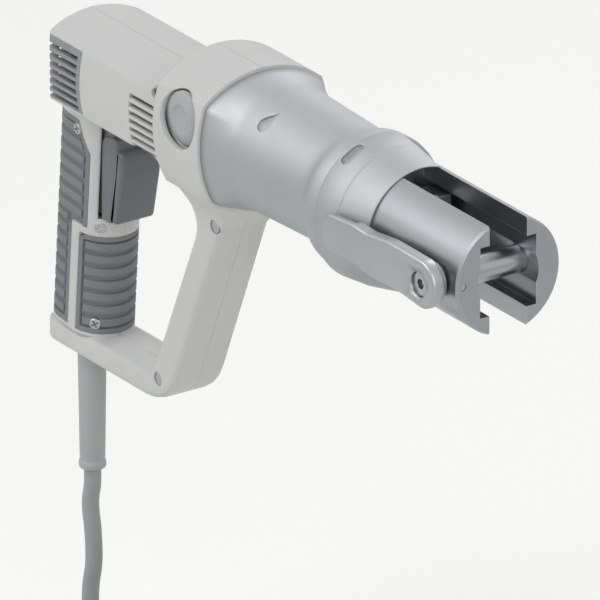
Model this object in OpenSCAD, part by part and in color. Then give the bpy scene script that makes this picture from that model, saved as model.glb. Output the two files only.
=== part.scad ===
// Corded press tool for pipe fittings: motor case, gear case, ribbed pistol
// grip inside a closed loop handle, and a swivelling jaw fork on the nose.
// Millimetres. +X points at the jaw, +Z is up, the origin is the grip's centre.

/* [Layout] */
// Distance from the grip centre forward to the fork's front face
head_reach = 357; // [350:1:370]
// Height of the head axis above the grip centre
axis_z = 100; // [96:1:104]
// Depth of the motor axis below the head axis
motor_drop = 5; // [4:0.5:6]

/* [Jaw fork] */
// Outside diameter of the fork
fork_d = 61; // [59:0.5:62]
// Width of the slot cut right through the fork, top to bottom
slot_w = 22; // [18:0.5:26]
// Width of the jaw pocket between the two cheeks
pocket_w = 33; // [31:0.5:34]
// Height of the jaw pocket
pocket_h = 37; // [33:0.5:40]
// Length of the jaw pocket, from the front face backward
pocket_len = 88; // [84:1:92]
// Diameter of the roller bore along the fork
bore_d = 36; // [34.5:0.5:37]
// Diameter of the retaining bolt
bolt_d = 14; // [12:0.5:16]
// Distance of the retaining bolt behind the front face
bolt_setback = 16; // [14:0.5:20]

/* [Collar] */
// Outside diameter of the swivel collar
collar_d = 77; // [75:0.5:79]
// Length of the swivel collar
collar_len = 17.5; // [15:0.5:20]
// Outside diameter of the tapered sleeve at its front edge
sleeve_front_d = 65; // [64:0.5:67]
// Length of the tapered sleeve
sleeve_len = 20; // [16:0.5:22]

/* [Nose] */
// Outside diameter of the nose where it leaves the gear case
nose_root_d = 67; // [65:0.5:70]
// Outside diameter of the nose just behind its flared rim
nose_tip_d = 63; // [62:0.5:66]
// Outside diameter of the flared rim
rim_d = 73; // [70:0.5:76]
// Outside diameter of the press cylinder
cylinder_d = 54; // [52:0.5:54]
// Diameter of the piston
piston_d = 42; // [38:0.5:44]
// Stroke of the press piston
piston_stroke = 30; // [20:1:32]

/* [Gear case] */
// Length of the gear case
gear_case_len = 39; // [38:0.5:42]
// Half width of the gear case at its upper edges
gear_edge_w = 33; // [32:0.5:35]
// Bulge of the gear case sides beyond the upper edges
gear_bulge = 6; // [5:0.5:7]
// Height of the gear case roof above the head axis
gear_roof = 36.8; // [36:0.2:38]
// Teeth of the motor pinion
pinion_teeth = 14; // [13:1:15]
// Teeth of the drive gear
gear_teeth = 28; // [24:1:29]
// Module of the gear teeth
gear_module = 1; // [0.98:0.01:1.02]
// Diameter of the round release button
button_d = 28; // [25:0.5:28]
// Travel of the release button
button_travel = 2; // [1:0.5:2]

/* [Motor case] */
// Half width of the motor case at its upper edges
motor_edge_w = 26; // [25:0.5:27]
// Height of the motor case roof above the head axis
motor_roof = 18; // [17.5:0.5:19]
// Bulge of the motor case sides
motor_bulge = 3; // [2.5:0.5:3.5]
// Depth of the motor case floor below the head axis
motor_floor = 28; // [27.5:0.5:29]
// Thickness of the casing walls
wall = 3; // [2.5:0.25:3.25]
// Diameter of the stator
stator_d = 38; // [36:0.5:39]
// Diameter of the armature core
armature_d = 23.5; // [22:0.5:24]
// Diameter of the motor shaft
shaft_d = 8; // [7:0.5:8.5]
// Number of louvre slots in the rear cap
louvre_count = 7; // [5:1:8]
// Number of vent slots in each casing half
vent_count = 7; // [5:1:8]

/* [Grip] */
// Width of the grip
grip_w = 34; // [32:0.5:36]
// Depth of the grip, front to back
grip_l = 46; // [44:0.5:48]
// Backward lean of the grip, in degrees
grip_lean = 4.5; // [3:0.5:6]
// Thickness of the ribbed grip covers
cover_t = 2.5; // [2:0.25:3]
// Height of one rib and groove
rib_pitch = 7.6; // [7:0.2:8.5]
// Depth of the rib grooves
rib_depth = 1.2; // [0.8:0.1:1.6]
// Travel of the trigger
trigger_travel = 6; // [4:0.5:6]
// Width of the trigger
trigger_w = 24; // [22:0.5:25]

/* [Loop] */
// Width of the loop handle across the tool
loop_w = 31; // [29:0.5:33]
// Rounding of the loop's long edges
loop_round = 4; // [3:0.5:5]
// Height of the loop's foot bar
foot_h = 13.5; // [12:0.5:15]
// Depth of the foot's underside below the grip centre
foot_z = 64.5; // [63:0.5:66]

/* [Cord] */
// Diameter of the power cord
cord_d = 8.8; // [8.4:0.1:9]
// Distance between neighbouring turns in the coil
coil_pitch = 9.5; // [9.5:0.1:9.8]
// Outer radius of the coil, to the cord's centre
coil_r = 68; // [66:1:72]
// Turns in each layer of the coil
layer_turns = 2.75; // [2.5:0.25:3.25]
// Layers in the coil
coil_layers = 4; // [2:2:4]
// Length of the bend relief below the foot
relief_len = 67; // [60:1:70]

/* [Hidden] */
$fn = 64;
hull_fn = 32;
// Overrun of cuts past the face they open
over = 1;
// Clearance of pieces that seat against each other
seat = 0.15;
// Clearance of turning and sliding pieces
run = 0.1;
// Clearance around pieces that travel through a casing opening
open_gap = 0.5;

// Places along the head axis, counted back from the fork's front face
fork_x = head_reach;
bolt_x = fork_x - bolt_setback;
sleeve_setback = 74;
sleeve_x = fork_x - sleeve_setback;
collar_x = sleeve_x - sleeve_len;
collar_back_x = collar_x - collar_len;
swivel_gap = 0.5;
rim_x = collar_back_x - swivel_gap;
rim_len = 9;
flare_len = 7;
nose_len = 67;
shoulder_len = 16;
nose_tip_x = rim_x - rim_len - flare_len;
nose_root_x = nose_tip_x - nose_len;
gear_front_x = nose_root_x - shoulder_len;
gear_back_x = gear_front_x - gear_case_len;
motor_len = 112;
motor_back_x = gear_back_x - motor_len;
cap_len = 32;
cap_bow_r = 200;
cap_corner_r = 6;
cap_low = 23;
cap_x = motor_back_x + cap_len;

// Fork, collar, sleeve and swivel neck
fork_r = fork_d / 2;
fork_chamfer = 1;
neck_r = 28.9;
neck_len = 16;
neck_x = collar_back_x - neck_len;
ring_t = 2;
ring_depth = 0.8;
ring_setback = 9;
ring_x = rim_x - ring_setback;
collar_r = collar_d / 2;
collar_step = 1.7;
collar_drop = 1.5;
flange_t = 2;
collar_slot_l = 14;
collar_slot_w = 6.5;
collar_slot_depth = 1.5;
collar_slot_turn = 29;
collar_slot_back = 5.1;
collar_slot_x = collar_back_x + collar_slot_back;
pin_r = 1.75;
pin_len = 8;
pin_recess = 0.6;
pin_wall = 4.3;
pin_y = pin_wall - fork_r;

// Retaining bolt and its lever
bolt_r = bolt_d / 2;
bolt_tip = 3.5;
bolt_tip_y = fork_r - bolt_tip;
groove_w = 4.5;
groove_depth = 1;
lever_gap = 0.5;
lever_t = 7;
lever_boss_h = 4;
lever_boss_r = 9.5;
lever_in_y = -fork_r - lever_gap;
lever_out_y = lever_in_y - lever_boss_h - lever_t;
lever_len = 96.5;
lever_half = 13.4;
lever_front = 13.5;
lever_bevel = 1.5;
lever_shares = [
    [0, -0.97, 0.9], [0.3, -0.76, 2], [0.6, -0.8, 1.6], [0.72, -0.64, 1.6], [1, -0.72, 0.6],
    [1, 0.72, 0.6], [0.72, 0.88, 1.6], [0.6, 0.83, 1.6], [0.4, 1, 2.2], [0, 0.97, 0.9]];
lever_relief = 1.5;
screw_head_r = 6;
screw_head_h = 5;
screw_shank_r = 3;
screw_len = 16;
screw_recess = 1.4;
hex_r = 2.9;
hex_depth = 3;

// Press cylinder, piston, roller carriage and pump
cylinder_r = cylinder_d / 2;
cylinder_back = 2;
cylinder_x = nose_root_x + cylinder_back;
cylinder_floor = 8;
spring_solid = 6.5;
piston_r = piston_d / 2;
piston_t = 10;
piston_x = cylinder_x + cylinder_floor + swivel_gap;
rod_r = 8;
guide_t = 7;
cylinder_len = cylinder_floor + swivel_gap + piston_t + piston_stroke + spring_solid + guide_t;
guide_x = cylinder_x + cylinder_len - guide_t;
carriage_x = collar_x - swivel_gap;
carriage_t = 14;
clevis_len = 14;
clevis_t = 6;
clevis_h = 34;
roller_r = 8.5;
roller_w = 12;
roller_split = 18;
roller_x = carriage_x + carriage_t + roller_r;
roller_pin_r = 3;
spring_r = 14;
spring_wire = 2.8;
spring_turns = 6;
spring_rings = 9;
pump_back = 6;
pump_x = gear_front_x - pump_back;

// Motor and gears
motor_z = axis_z - motor_drop;
gear_mesh = gear_module * (pinion_teeth + gear_teeth) / 2;
gear_z = motor_z + gear_mesh;
pressure_turn = 20;
addendum_share = 0.8;
dedendum_share = 1.2;
tooth_share = 0.8;
flank_shares = [0, 0.35, 0.7, 1];
plate_t = 4;
gear_w = 8;
plate_x = gear_back_x + wall + run;
gear_x = plate_x + plate_t + swivel_gap;
shaft_r = shaft_d / 2;
eccentric_r = 7;
eccentric_shift = 2;
eccentric_w = 6;
eccentric_x = gear_x + gear_w + swivel_gap;
stator_r = stator_d / 2;
stator_len = 46;
stator_x = cap_x - 2 * over;
web_t = 3;
armature_r = armature_d / 2;
armature_len = 42;
armature_x = stator_x + (stator_len - armature_len) / 2;
bearing_r = 11;
bearing_t = 8;
rear_bearing_inset = 12;
front_bearing_setback = 11;
rear_bearing_x = motor_back_x + rear_bearing_inset;
front_bearing_x = gear_back_x - bearing_t - front_bearing_setback;
commutator_r = 8;
commutator_len = 7;
commutator_x = rear_bearing_x + bearing_t + swivel_gap;
fan_r = 17;
fan_t = 8;
fan_hub_r = 6.5;
fan_blades = 9;
fan_blade_t = 1.4;
fan_plate_t = 2;
fan_x = front_bearing_x - fan_t - swivel_gap;
brush_w = 6;
brush_len = 10;

// Casing sections: arched roof, bulged sides and a shallow curved floor
motor_arch_r = 57.6;
motor_side_r = 70;
motor_side_z = -6;
motor_floor_r = 100;
motor_half = motor_edge_w + motor_bulge;
cap_drop = 1.5;
edge_rise = sqrt(pow(motor_arch_r, 2) - pow(motor_edge_w, 2));
cap_top_z = axis_z + motor_roof - motor_arch_r + edge_rise - cap_drop;
gear_arch_r = 54.6;
gear_side_r = 65;
gear_side_z = 2;
gear_floor_r = 60;
gear_floor = 38;
gear_half = gear_edge_w + gear_bulge;
louvre_h = 2.6;
louvre_pitch = 4.4;
louvre_rim = 3;
louvre_inner_y = 14;
louvre_low = 22;
vent_h = 2.6;
vent_pitch = 4.4;
vent_len = 24;
vent_setback = 12;
vent_low = 25;
vent_inner_y = motor_edge_w - 2 * wall;
split_gap = 0.2;

// Release button in its round cup
button_ahead = 1.4;
button_x = gear_back_x + gear_case_len / 2 + button_ahead;
button_lift = 11.4;
button_z = axis_z + button_lift;
button_gap = 0.9;
button_crown = 1.6;
button_t = 3.2;
button_rise = 4;
button_face_y = button_rise - gear_half;
cup_wall = 2.5;
cup_r = button_d / 2 + button_gap + cup_wall;
cup_floor = 2;
cup_y = button_face_y + button_t + button_travel + open_gap;
dish_r = 7.2;
dish_depth = 0.6;
dish_rim = 0.8;

// Grip, covers, switch and trigger
grip_r = grip_w / 2;
grip_half = grip_l / 2 - grip_r;
grip_top = 70.5;
grip_inside_top = grip_top - 2 * wall;
stem_l = 28;
stem_w = 24;
stem_h = 12;
grip_low = foot_z - foot_h - over;
core_r = grip_r - cover_t;
cover_low = 48;
cover_top = 66;
step_z = 9.8;
band_h = 4;
rear_low_x = 1.2;
rear_up_x = 12.6;
rear_cut_l = 9;
rear_cut_h = 16;
front_low_x = 8;
rib_h_share = 0.7;
trigger_back = 16;
trigger_front = 40;
trigger_low = 15;
trigger_top = 70;
trigger_round = 4;
trigger_shares = [[0, 0, 0.05], [0.7, 0, 0.25], [0.97, 0.5, 1], [1, 1, 0.1], [0, 1, 0.05]];
switch_x = -6;
switch_len = 9;
switch_w = 2 * (core_r - wall - seat);
switch_drop = 4.5;
switch_h = 40;
switch_low = grip_inside_top - switch_drop - switch_h;
trigger_spring_r = 4;
trigger_spring_wire = 1.2;
trigger_spring_turns = 4;
board_x = -5;
board_t = 1.6;
board_low = -46;
board_h = 36;

// Loop handle outline
foot_front = 83.5;
foot_back = 23.5;
bar_setback = 12;
bar_top_x = gear_front_x - bar_setback;
bar_top_z = 55;
bar_t = 21.5;
bar_foot_t = 15;
bar_inner_z = 49;
crown_run = 58.5;
outer_run = 20;
crown_z = axis_z - motor_floor + over;
foot_r = 30;
heel_r = 4.5;
bar_r = 12;
open_foot_r = 14;
open_bar_r = 12;
open_crown_r = 22;
corner_r = 1;
loop_steps = 5;
edge_steps = 3;
slab_over = 0.1;
loop_outer = [
    [-foot_back, -foot_z, heel_r], [foot_front, -foot_z, foot_r], [bar_top_x, bar_top_z, bar_r],
    [gear_front_x - wall, axis_z - motor_floor / 2, corner_r],
    [cap_x + outer_run, axis_z - motor_floor / 2, corner_r], [-foot_back, foot_h - foot_z, corner_r]];
loop_open = [
    [-2 * foot_back, foot_h - foot_z, corner_r], [foot_front - bar_foot_t, foot_h - foot_z, open_foot_r],
    [bar_top_x - bar_t, bar_inner_z, open_bar_r], [bar_top_x - bar_t - crown_run, crown_z, open_crown_r],
    [-2 * foot_back, crown_z, corner_r]];
neck_top_w = 26;
neck_top_z = 70;
neck_low_z = 46;
neck_low_w = (loop_w - loop_round) / 2;
neck_back = 4;
neck_back_x = gear_back_x - neck_back;
// The neck's waist: [share of the way down, share of the extra width kept]
neck_shares = [[0, 1], [0.3, 0.55], [0.65, 0.2], [1, 0]];

// Casing screws along Y: [x, z, half width of the casing there]
case_screw_r = 3.4;
case_screw_h = 3;
case_shank_r = 1.8;
case_shank_len = 14;
boss_r = 3.8;
screw_inset = 0.6;
bar_screw_back = 8;
bar_screw_drop = 6.5;
screw_places = [
    [bar_top_x - bar_screw_back, bar_top_z - bar_screw_drop, loop_w / 2],
    [foot_front - bar_foot_t / 2, foot_h - foot_z, loop_w / 2],
    [front_bearing_x + bearing_t / 2, axis_z + motor_roof - boss_r - wall, motor_edge_w]];

// Bend relief, cord, coil and plug
cord_r = cord_d / 2;
relief_r = 7.35;
relief_end_r = 6.4;
relief_ring_r = 7;
relief_ring_h = 4;
relief_hold = 8;
relief_x = -6;
relief_end_z = -foot_z - relief_len;
floor_z = -254;
strap_t = 1.3;
strap_w = 14;
lay_z = floor_z + strap_t + seat + cord_r;
cord_sides = 8;
coil_sides = 6;
loop_rings = 24;
lead_points = [
    [-6, 0, relief_end_z], [-6, 0, -140], [-8, 0, -152], [-6.5, 0.5, -168], [-6, 0.5, -184], [-8, 0, -198],
    [-8, -0.5, -211], [-6.5, -2.5, -225], [-2, -9.5, -237.5], [5, -20, -245.5], [13, -31.5, lay_z],
    [18, -39, lay_z], [23, -46.5, lay_z]];
// Tail over the coil's top: [turn on from the coil's end, step out from the coil, rise above the top layer]
tail_route = [[28, 1, 2.5], [45, -0.5, 5.5], [62, -3.5, 8.5], [80, -8, 11.5],
    [98, -14, 14], [114, -20, 16], [128, -24.5, 17.5]];
plug_run = 24;
plug_len = 38;
plug_w = 35;
plug_t = 26;
plug_round = 6;
plug_neck_r = 7;
plug_neck_len = 12;
plug_pin_r = 2.4;
plug_pin_len = 19;
plug_pin_split = 19;

// Vectors and swept shapes
function unit(v) = v / norm(v);
function left(v) = [-v[1], v[0]];
function flat2(p) = [p[0], p[1]];
function cross2(a, b) = a[0] * b[1] - a[1] * b[0];

// Rounded corner of a counterclockwise outline of [x, z, radius] points, moved inward by inset
function corner(before, at, after, inset, steps) =
    let (d1 = unit(flat2(at) - flat2(before)), d2 = unit(flat2(after) - flat2(at)))
    let (n1 = left(d1), n2 = left(d2), miter = (n1 + n2) / (1 + n1 * n2))
    let (turn = atan2(cross2(d1, d2), d1 * d2), way = sign(turn))
    let (r = max(at[2] - way * inset, 0), mid = flat2(at) + (way * r + inset) * miter)
    let (start = atan2(-way * n1[1], -way * n1[0]))
    [for (i = [0 : steps]) mid + r * [cos(start + turn * i / steps), sin(start + turn * i / steps)]];

function outline(points, inset, steps) = [
    for (i = [0 : len(points) - 1])
        each corner(points[(i + len(points) - 1) % len(points)], points[i],
            points[(i + 1) % len(points)], inset, steps)];

// Slab across Y between two faces, its long edges rounded by edge (flared outward where edge is negative)
module rounded_slab(points, y0, y1, edge, steps, rings_per_edge) {
    e = abs(edge);
    turns = [for (i = [0 : rings_per_edge]) 90 * i / rings_per_edge];
    low = [for (a = turns) [y0 + e * (1 - cos(a)), edge * (1 - sin(a))]];
    high = [for (i = [0 : rings_per_edge]) let (l = low[rings_per_edge - i]) [y0 + y1 - l[0], l[1]]];
    rings = concat(low, high);
    n = len(outline(points, 0, steps));
    vertices = [for (l = rings) each [for (p = outline(points, l[1], steps)) [p[0], l[0], p[1]]]];
    sides = [for (j = [0 : len(rings) - 2], i = [0 : n - 1], half = [0, 1])
        let (a = j * n + i, b = j * n + (i + 1) % n)
        half == 0 ? [a, b, b + n] : [a, b + n, a + n]];
    caps = [[for (i = [0 : n - 1]) n - 1 - i], [for (i = [0 : n - 1]) (len(rings) - 1) * n + i]];
    polyhedron(vertices, concat(sides, caps), convexity = 6);
}

// Round tube along a list of points, its rings set square to the path
module tube(path, r, sides, up) {
    n = len(path);
    vertices = [for (i = [0 : n - 1])
        let (t = unit(path[min(i + 1, n - 1)] - path[max(i - 1, 0)]))
        let (u = unit(cross(up, t)), v = cross(t, u))
        each [for (k = [0 : sides - 1]) path[i] + r * (cos(360 * k / sides) * u + sin(360 * k / sides) * v)]];
    walls = [for (i = [0 : n - 2], k = [0 : sides - 1], half = [0, 1])
        let (a = i * sides + k, b = i * sides + (k + 1) % sides)
        half == 0 ? [a, a + sides, b + sides] : [a, b + sides, b]];
    ends = [[for (k = [0 : sides - 1]) k], [for (k = [0 : sides - 1]) n * sides - 1 - k]];
    polyhedron(vertices, concat(walls, ends), convexity = 8);
}

// Compression spring along X with straight ends square to its seats
function spring_path(x0, x1, r, turns, rings, z) = [
    for (i = [0 : turns * rings]) let (f = i / (turns * rings))
        [x0 + (x1 - x0) * f, r * sin(360 * turns * f), z + r * cos(360 * turns * f)]];

// Placing helpers
module rod_x(x0, x1, r, z = axis_z) {
    translate([x0, 0, z]) rotate([0, 90, 0]) cylinder(h = x1 - x0, r = r);
}

module cone_x(x0, x1, r0, r1) {
    translate([x0, 0, axis_z]) rotate([0, 90, 0]) cylinder(h = x1 - x0, r1 = r0, r2 = r1);
}

module rod_y(x, z, y0, y1, r) {
    translate([x, y0, z]) rotate([-90, 0, 0]) cylinder(h = y1 - y0, r = r);
}

module along_x(x0, x1) {
    translate([x0, 0, axis_z]) rotate([90, 0, 90]) linear_extrude(x1 - x0) children();
}

module along_y(y0, y1) {
    translate([0, y1, 0]) rotate([90, 0, 0]) linear_extrude(y1 - y0) children();
}

module box(low, high) {
    translate(low) cube(high - low);
}

module leaned() {
    rotate([0, grip_lean, 0]) children();
}

module stadium(r, z0, z1) {
    translate([0, 0, z0]) {
        for (s = [-1, 1]) translate([s * grip_half, 0, 0]) cylinder(h = z1 - z0, r = r);
        translate([-grip_half, -r, 0]) cube([2 * grip_half, 2 * r, z1 - z0]);
    }
}

// Casing sections in the Y-Z plane, measured from the head axis
module motor_section(inset) {
    intersection() {
        translate([0, motor_roof - motor_arch_r]) circle(motor_arch_r - inset);
        translate([motor_half - motor_side_r, motor_side_z]) circle(motor_side_r - inset);
        translate([motor_side_r - motor_half, motor_side_z]) circle(motor_side_r - inset);
        translate([0, motor_floor_r - motor_floor]) circle(motor_floor_r - inset);
    }
}

module gear_section(inset) {
    intersection() {
        translate([0, gear_roof - gear_arch_r]) circle(gear_arch_r - inset);
        translate([gear_half - gear_side_r, gear_side_z]) circle(gear_side_r - inset);
        translate([gear_side_r - gear_half, gear_side_z]) circle(gear_side_r - inset);
        translate([0, gear_floor_r - gear_floor]) circle(gear_floor_r - inset);
    }
}

// Grip covers: regions in the X-Z plane of the leaned grip, grown by a gap
module rear_region(gap) {
    polygon([
        [-grip_l, -cover_low - gap], [rear_low_x + gap, -cover_low - gap],
        [rear_low_x + gap, step_z - gap], [rear_up_x + gap, step_z - gap],
        [rear_up_x + gap, cover_top - rear_cut_h + gap],
        [rear_up_x - rear_cut_l + gap, cover_top + gap], [-grip_l, cover_top + gap]]);
}

module front_region(gap) {
    polygon([
        [front_low_x - gap, -cover_low - gap], [grip_l, -cover_low - gap],
        [grip_l, step_z - band_h + gap], [front_low_x - gap, step_z - band_h + gap]]);
}

module cover_ring(inner_r) {
    difference() {
        stadium(grip_r, -cover_low - over, cover_top + over);
        stadium(inner_r, -cover_low - 2 * over, cover_top + 2 * over);
    }
}

module rib_grooves(z0, z1) {
    count = floor((z1 - z0) / rib_pitch);
    for (i = [0 : count - 1]) {
        low = z0 + i * rib_pitch + rib_pitch * rib_h_share;
        difference() {
            stadium(grip_r + over, low, low + rib_pitch * (1 - rib_h_share));
            stadium(grip_r - rib_depth, low - over, low + rib_pitch);
        }
    }
}

module grip_core() {
    leaned() difference() {
        union() {
            stadium(grip_r, -grip_low, grip_top);
            box([-grip_half, -stem_w / 2, grip_top - stem_h / 2],
                [stem_l - grip_half, stem_w / 2, grip_top + stem_h / 2]);
        }
        intersection() {
            cover_ring(core_r);
            along_y(-grip_w, grip_w) union() {
                rear_region(split_gap);
                front_region(split_gap);
            }
        }
    }
}

module loop_slab() {
    difference() {
        rounded_slab(loop_outer, -loop_w / 2, loop_w / 2, loop_round, loop_steps, edge_steps);
        rounded_slab(loop_open, -loop_w / 2 - slab_over, loop_w / 2 + slab_over, -loop_round,
            loop_steps, edge_steps);
    }
}

module loop_neck() {
    for (i = [1 : len(neck_shares) - 1]) hull() {
        neck_level(neck_shares[i - 1]);
        neck_level(neck_shares[i]);
    }
}

module neck_level(p) {
    z = neck_top_z + p[0] * (neck_low_z - neck_top_z);
    half = neck_low_w + p[1] * (neck_top_w - neck_low_w);
    back_x = neck_back_x + p[0] * (bar_top_x - bar_t + over - neck_back_x);
    front_x = gear_front_x + p[0] * (bar_top_x - loop_round - gear_front_x);
    box([back_x, -half, z], [front_x, half, z + over]);
}

// Motor case with its bowed back, up to a plane across the tool
module motor_body(inset, front_x) {
    intersection() {
        along_x(motor_back_x + inset, front_x) motor_section(inset);
        linear_extrude(2 * axis_z) motor_plan(inset);
    }
}

// The case seen from above: a bowed back with round corners
module motor_plan(inset) {
    offset(r = cap_corner_r) offset(delta = -cap_corner_r - inset) intersection() {
        translate([motor_back_x + cap_bow_r, 0]) circle(cap_bow_r);
        translate([motor_back_x, -motor_half]) square([2 * motor_len, 2 * motor_half]);
    }
}

// The rear cap closes the back and the sides below the roof's edges
module cap_zone(gap) {
    box([motor_back_x - over, -gear_half, axis_z - cap_low - gap],
        [cap_x + gap, gear_half, cap_top_z + gap]);
}

module casing_outside() {
    difference() {
        union() {
            motor_body(0, gear_back_x);
            grip_core();
        }
        cap_zone(split_gap);
    }
    along_x(gear_back_x, gear_front_x) gear_section(0);
    loop_slab();
    loop_neck();
}

module casing_inside() {
    motor_body(wall, gear_back_x + wall + over);
    along_x(gear_back_x + wall, gear_front_x + over) gear_section(wall);
    leaned() stadium(core_r - wall, -cover_low, grip_inside_top);
    box([trigger_back - trigger_travel - 2 * open_gap, -trigger_w / 2 - open_gap, trigger_low - open_gap],
        [trigger_front, trigger_w / 2 + open_gap, trigger_top + open_gap]);
}

// Cross walls that carry the stator and the front bearing, and the button's cup
module casing_webs() {
    for (x = [stator_x + 2 * web_t, stator_x + stator_len - 3 * web_t])
        difference() {
            along_x(x, x + web_t) motor_section(wall / 2);
            rod_x(x - over, x + web_t + over, stator_r + seat, motor_z);
        }
    difference() {
        along_x(front_bearing_x, front_bearing_x + bearing_t) motor_section(wall / 2);
        rod_x(front_bearing_x - over, front_bearing_x + bearing_t + over, bearing_r + seat, motor_z);
    }
    intersection() {
        rod_y(button_x, button_z, button_face_y + over, cup_y + cup_floor, cup_r);
        along_x(gear_back_x, gear_front_x) gear_section(wall / 2);
    }
    for (p = screw_places) rod_y(p[0], p[1], -p[2] + wall, p[2] - wall, boss_r);
}

module casing_cuts() {
    rod_y(button_x, button_z, -2 * gear_half, cup_y, button_d / 2 + button_gap);
    for (p = screw_places) {
        rod_y(p[0], p[1], -2 * gear_half, case_screw_h - p[2] + screw_inset, case_screw_r + seat);
        rod_y(p[0], p[1], -p[2], case_shank_len, case_shank_r + seat);
    }
    for (i = [0 : vent_count - 1], s = [-1, 1])
        vent_slot(s, axis_z - vent_low + i * vent_pitch);
    translate([relief_x, 0, -foot_z - over])
        cylinder(h = relief_hold + over, r = relief_r + seat);
}

module vent_slot(side, z) {
    x0 = gear_back_x - vent_setback - vent_len;
    y0 = side > 0 ? vent_inner_y : -gear_half;
    y1 = side > 0 ? gear_half : -vent_inner_y;
    box([x0, y0, z], [x0 + vent_len - vent_h / 2, y1, z + vent_h]);
    rod_y(x0 + vent_len - vent_h / 2, z + vent_h / 2, y0, y1, vent_h / 2);
}

module casing_half(side) {
    reach = 2 * head_reach;
    difference() {
        intersection() {
            union() {
                difference() {
                    casing_outside();
                    casing_inside();
                }
                casing_webs();
            }
            box([-reach, side > 0 ? 0 : -reach, -reach], [reach, side > 0 ? reach : 0, reach]);
        }
        casing_cuts();
    }
}

module casing_right() {
    color("gainsboro") casing_half(-1);
}

module casing_left() {
    color("lightgray") casing_half(1);
}

module rear_cap() {
    color("dimgray") difference() {
        intersection() {
            motor_body(0, cap_x);
            cap_zone(0);
        }
        difference() {
            motor_body(wall, cap_x + over);
            along_x(rear_bearing_x, rear_bearing_x + bearing_t) motor_section(wall / 2);
        }
        rod_x(rear_bearing_x - over, rear_bearing_x + bearing_t + over, bearing_r + seat, motor_z);
        for (i = [0 : louvre_count - 1], s = [-1, 1])
            louvre(s, axis_z - louvre_low + i * louvre_pitch);
    }
}

// One louvre slot, cut round the cap's rear corner and along its side
module louvre(side, z) {
    mirror([0, side > 0 ? 0 : 1, 0]) {
        box([motor_back_x - over, louvre_inner_y, z], [rear_bearing_x - over, gear_half, z + louvre_h]);
        box([rear_bearing_x - 2 * over, motor_edge_w - wall, z],
            [cap_x - louvre_rim, gear_half, z + louvre_h]);
    }
}

module grip_rear_pad() {
    color("slategray") leaned() difference() {
        intersection() {
            cover_ring(core_r + seat);
            along_y(-grip_w, grip_w) rear_region(0);
        }
        rib_grooves(-cover_low, cover_top);
    }
}

module grip_front_cover() {
    color("slategray") leaned() difference() {
        intersection() {
            cover_ring(core_r + seat);
            along_y(-grip_w, grip_w) front_region(0);
        }
        rib_grooves(-cover_low, step_z - band_h);
    }
}

module trigger() {
    points = [for (p = trigger_shares) [
        trigger_back + p[0] * (trigger_front - trigger_back),
        trigger_low + p[1] * (trigger_top - trigger_low),
        p[2] * (trigger_front - trigger_back)]];
    color("dimgray") rounded_slab(points, -trigger_w / 2, trigger_w / 2, trigger_round,
        loop_steps, edge_steps);
}

module switch_body() {
    color("black") leaned() box([switch_x, -switch_w / 2, switch_low],
        [switch_x + switch_len, switch_w / 2, switch_low + switch_h]);
}

module trigger_spring() {
    wire_r = trigger_spring_wire / 2;
    z = switch_low + switch_h / 2;
    seat_x = (switch_x + switch_len) / cos(grip_lean) + (z + trigger_spring_r) * tan(grip_lean);
    color("silver") tube(spring_path(seat_x + wire_r + run, trigger_back - wire_r - run,
        trigger_spring_r, trigger_spring_turns, spring_rings, z), wire_r, coil_sides, [1, 0, 0]);
}

module control_board() {
    color("seagreen") leaned() box([board_x, seat - core_r + wall, board_low],
        [board_x + board_t, core_r - wall - seat, board_low + board_h]);
}

module release_button() {
    color("dimgray") difference() {
        hull() {
            rod_y(button_x, button_z, button_face_y, button_face_y + button_t, button_d / 2);
            rod_y(button_x, button_z, button_face_y - button_crown, button_face_y, dish_r + dish_rim);
        }
        rod_y(button_x, button_z, button_face_y - button_crown - over,
            button_face_y - button_crown + dish_depth, dish_r);
    }
}

module casing_screws() {
    color("silver") for (p = screw_places) {
        rod_y(p[0], p[1], screw_inset - p[2], screw_inset + case_screw_h - p[2], case_screw_r);
        rod_y(p[0], p[1], screw_inset - p[2], case_shank_len - open_gap, case_shank_r);
    }
}

module nose_cone() {
    color("whitesmoke") difference() {
        union() {
            hull() {
                along_x(gear_front_x, gear_front_x + over) gear_section(wall / 2, $fn = hull_fn);
                rod_x(nose_root_x - over, nose_root_x, nose_root_d / 2, $fn = hull_fn);
            }
            cone_x(nose_root_x, nose_tip_x, nose_root_d / 2, nose_tip_d / 2);
            hull() {
                rod_x(nose_tip_x - over, nose_tip_x, nose_tip_d / 2);
                translate([0, 0, -collar_drop]) rod_x(nose_tip_x + flare_len, rim_x, rim_d / 2);
            }
        }
        rod_x(gear_front_x - over, nose_tip_x, cylinder_r + seat);
        rod_x(nose_tip_x - over, rim_x + over, neck_r + run);
        rod_x(ring_x - ring_t / 2 - run, ring_x + ring_t / 2 + run, neck_r + ring_depth + 2 * run);
    }
}

module swivel_ring() {
    color("silver") difference() {
        rod_x(ring_x - ring_t / 2, ring_x + ring_t / 2, neck_r + ring_depth + run);
        rod_x(ring_x - ring_t, ring_x + ring_t, neck_r - ring_depth);
    }
}

// Room beside the far fork arm, where the collar and the sleeve are cut away
module far_window() {
    box([collar_back_x + flange_t, slot_w / 2, axis_z - collar_d],
        [sleeve_x + over, collar_d, axis_z + collar_d]);
}

module swivel_collar() {
    color("whitesmoke") difference() {
        translate([0, 0, -collar_drop])
            cone_x(collar_back_x, collar_x, collar_r, collar_r - collar_step);
        rod_x(collar_back_x - over, collar_x + over, fork_r + run);
        far_window();
        translate([0, 0, axis_z - collar_drop]) rotate([collar_slot_turn, 0, 0])
            translate([collar_slot_x, 0, collar_r])
            box([-collar_slot_w / 2, -collar_slot_l / 2, -collar_slot_depth],
                [collar_slot_w / 2, collar_slot_l / 2, over]);
    }
}

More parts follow.
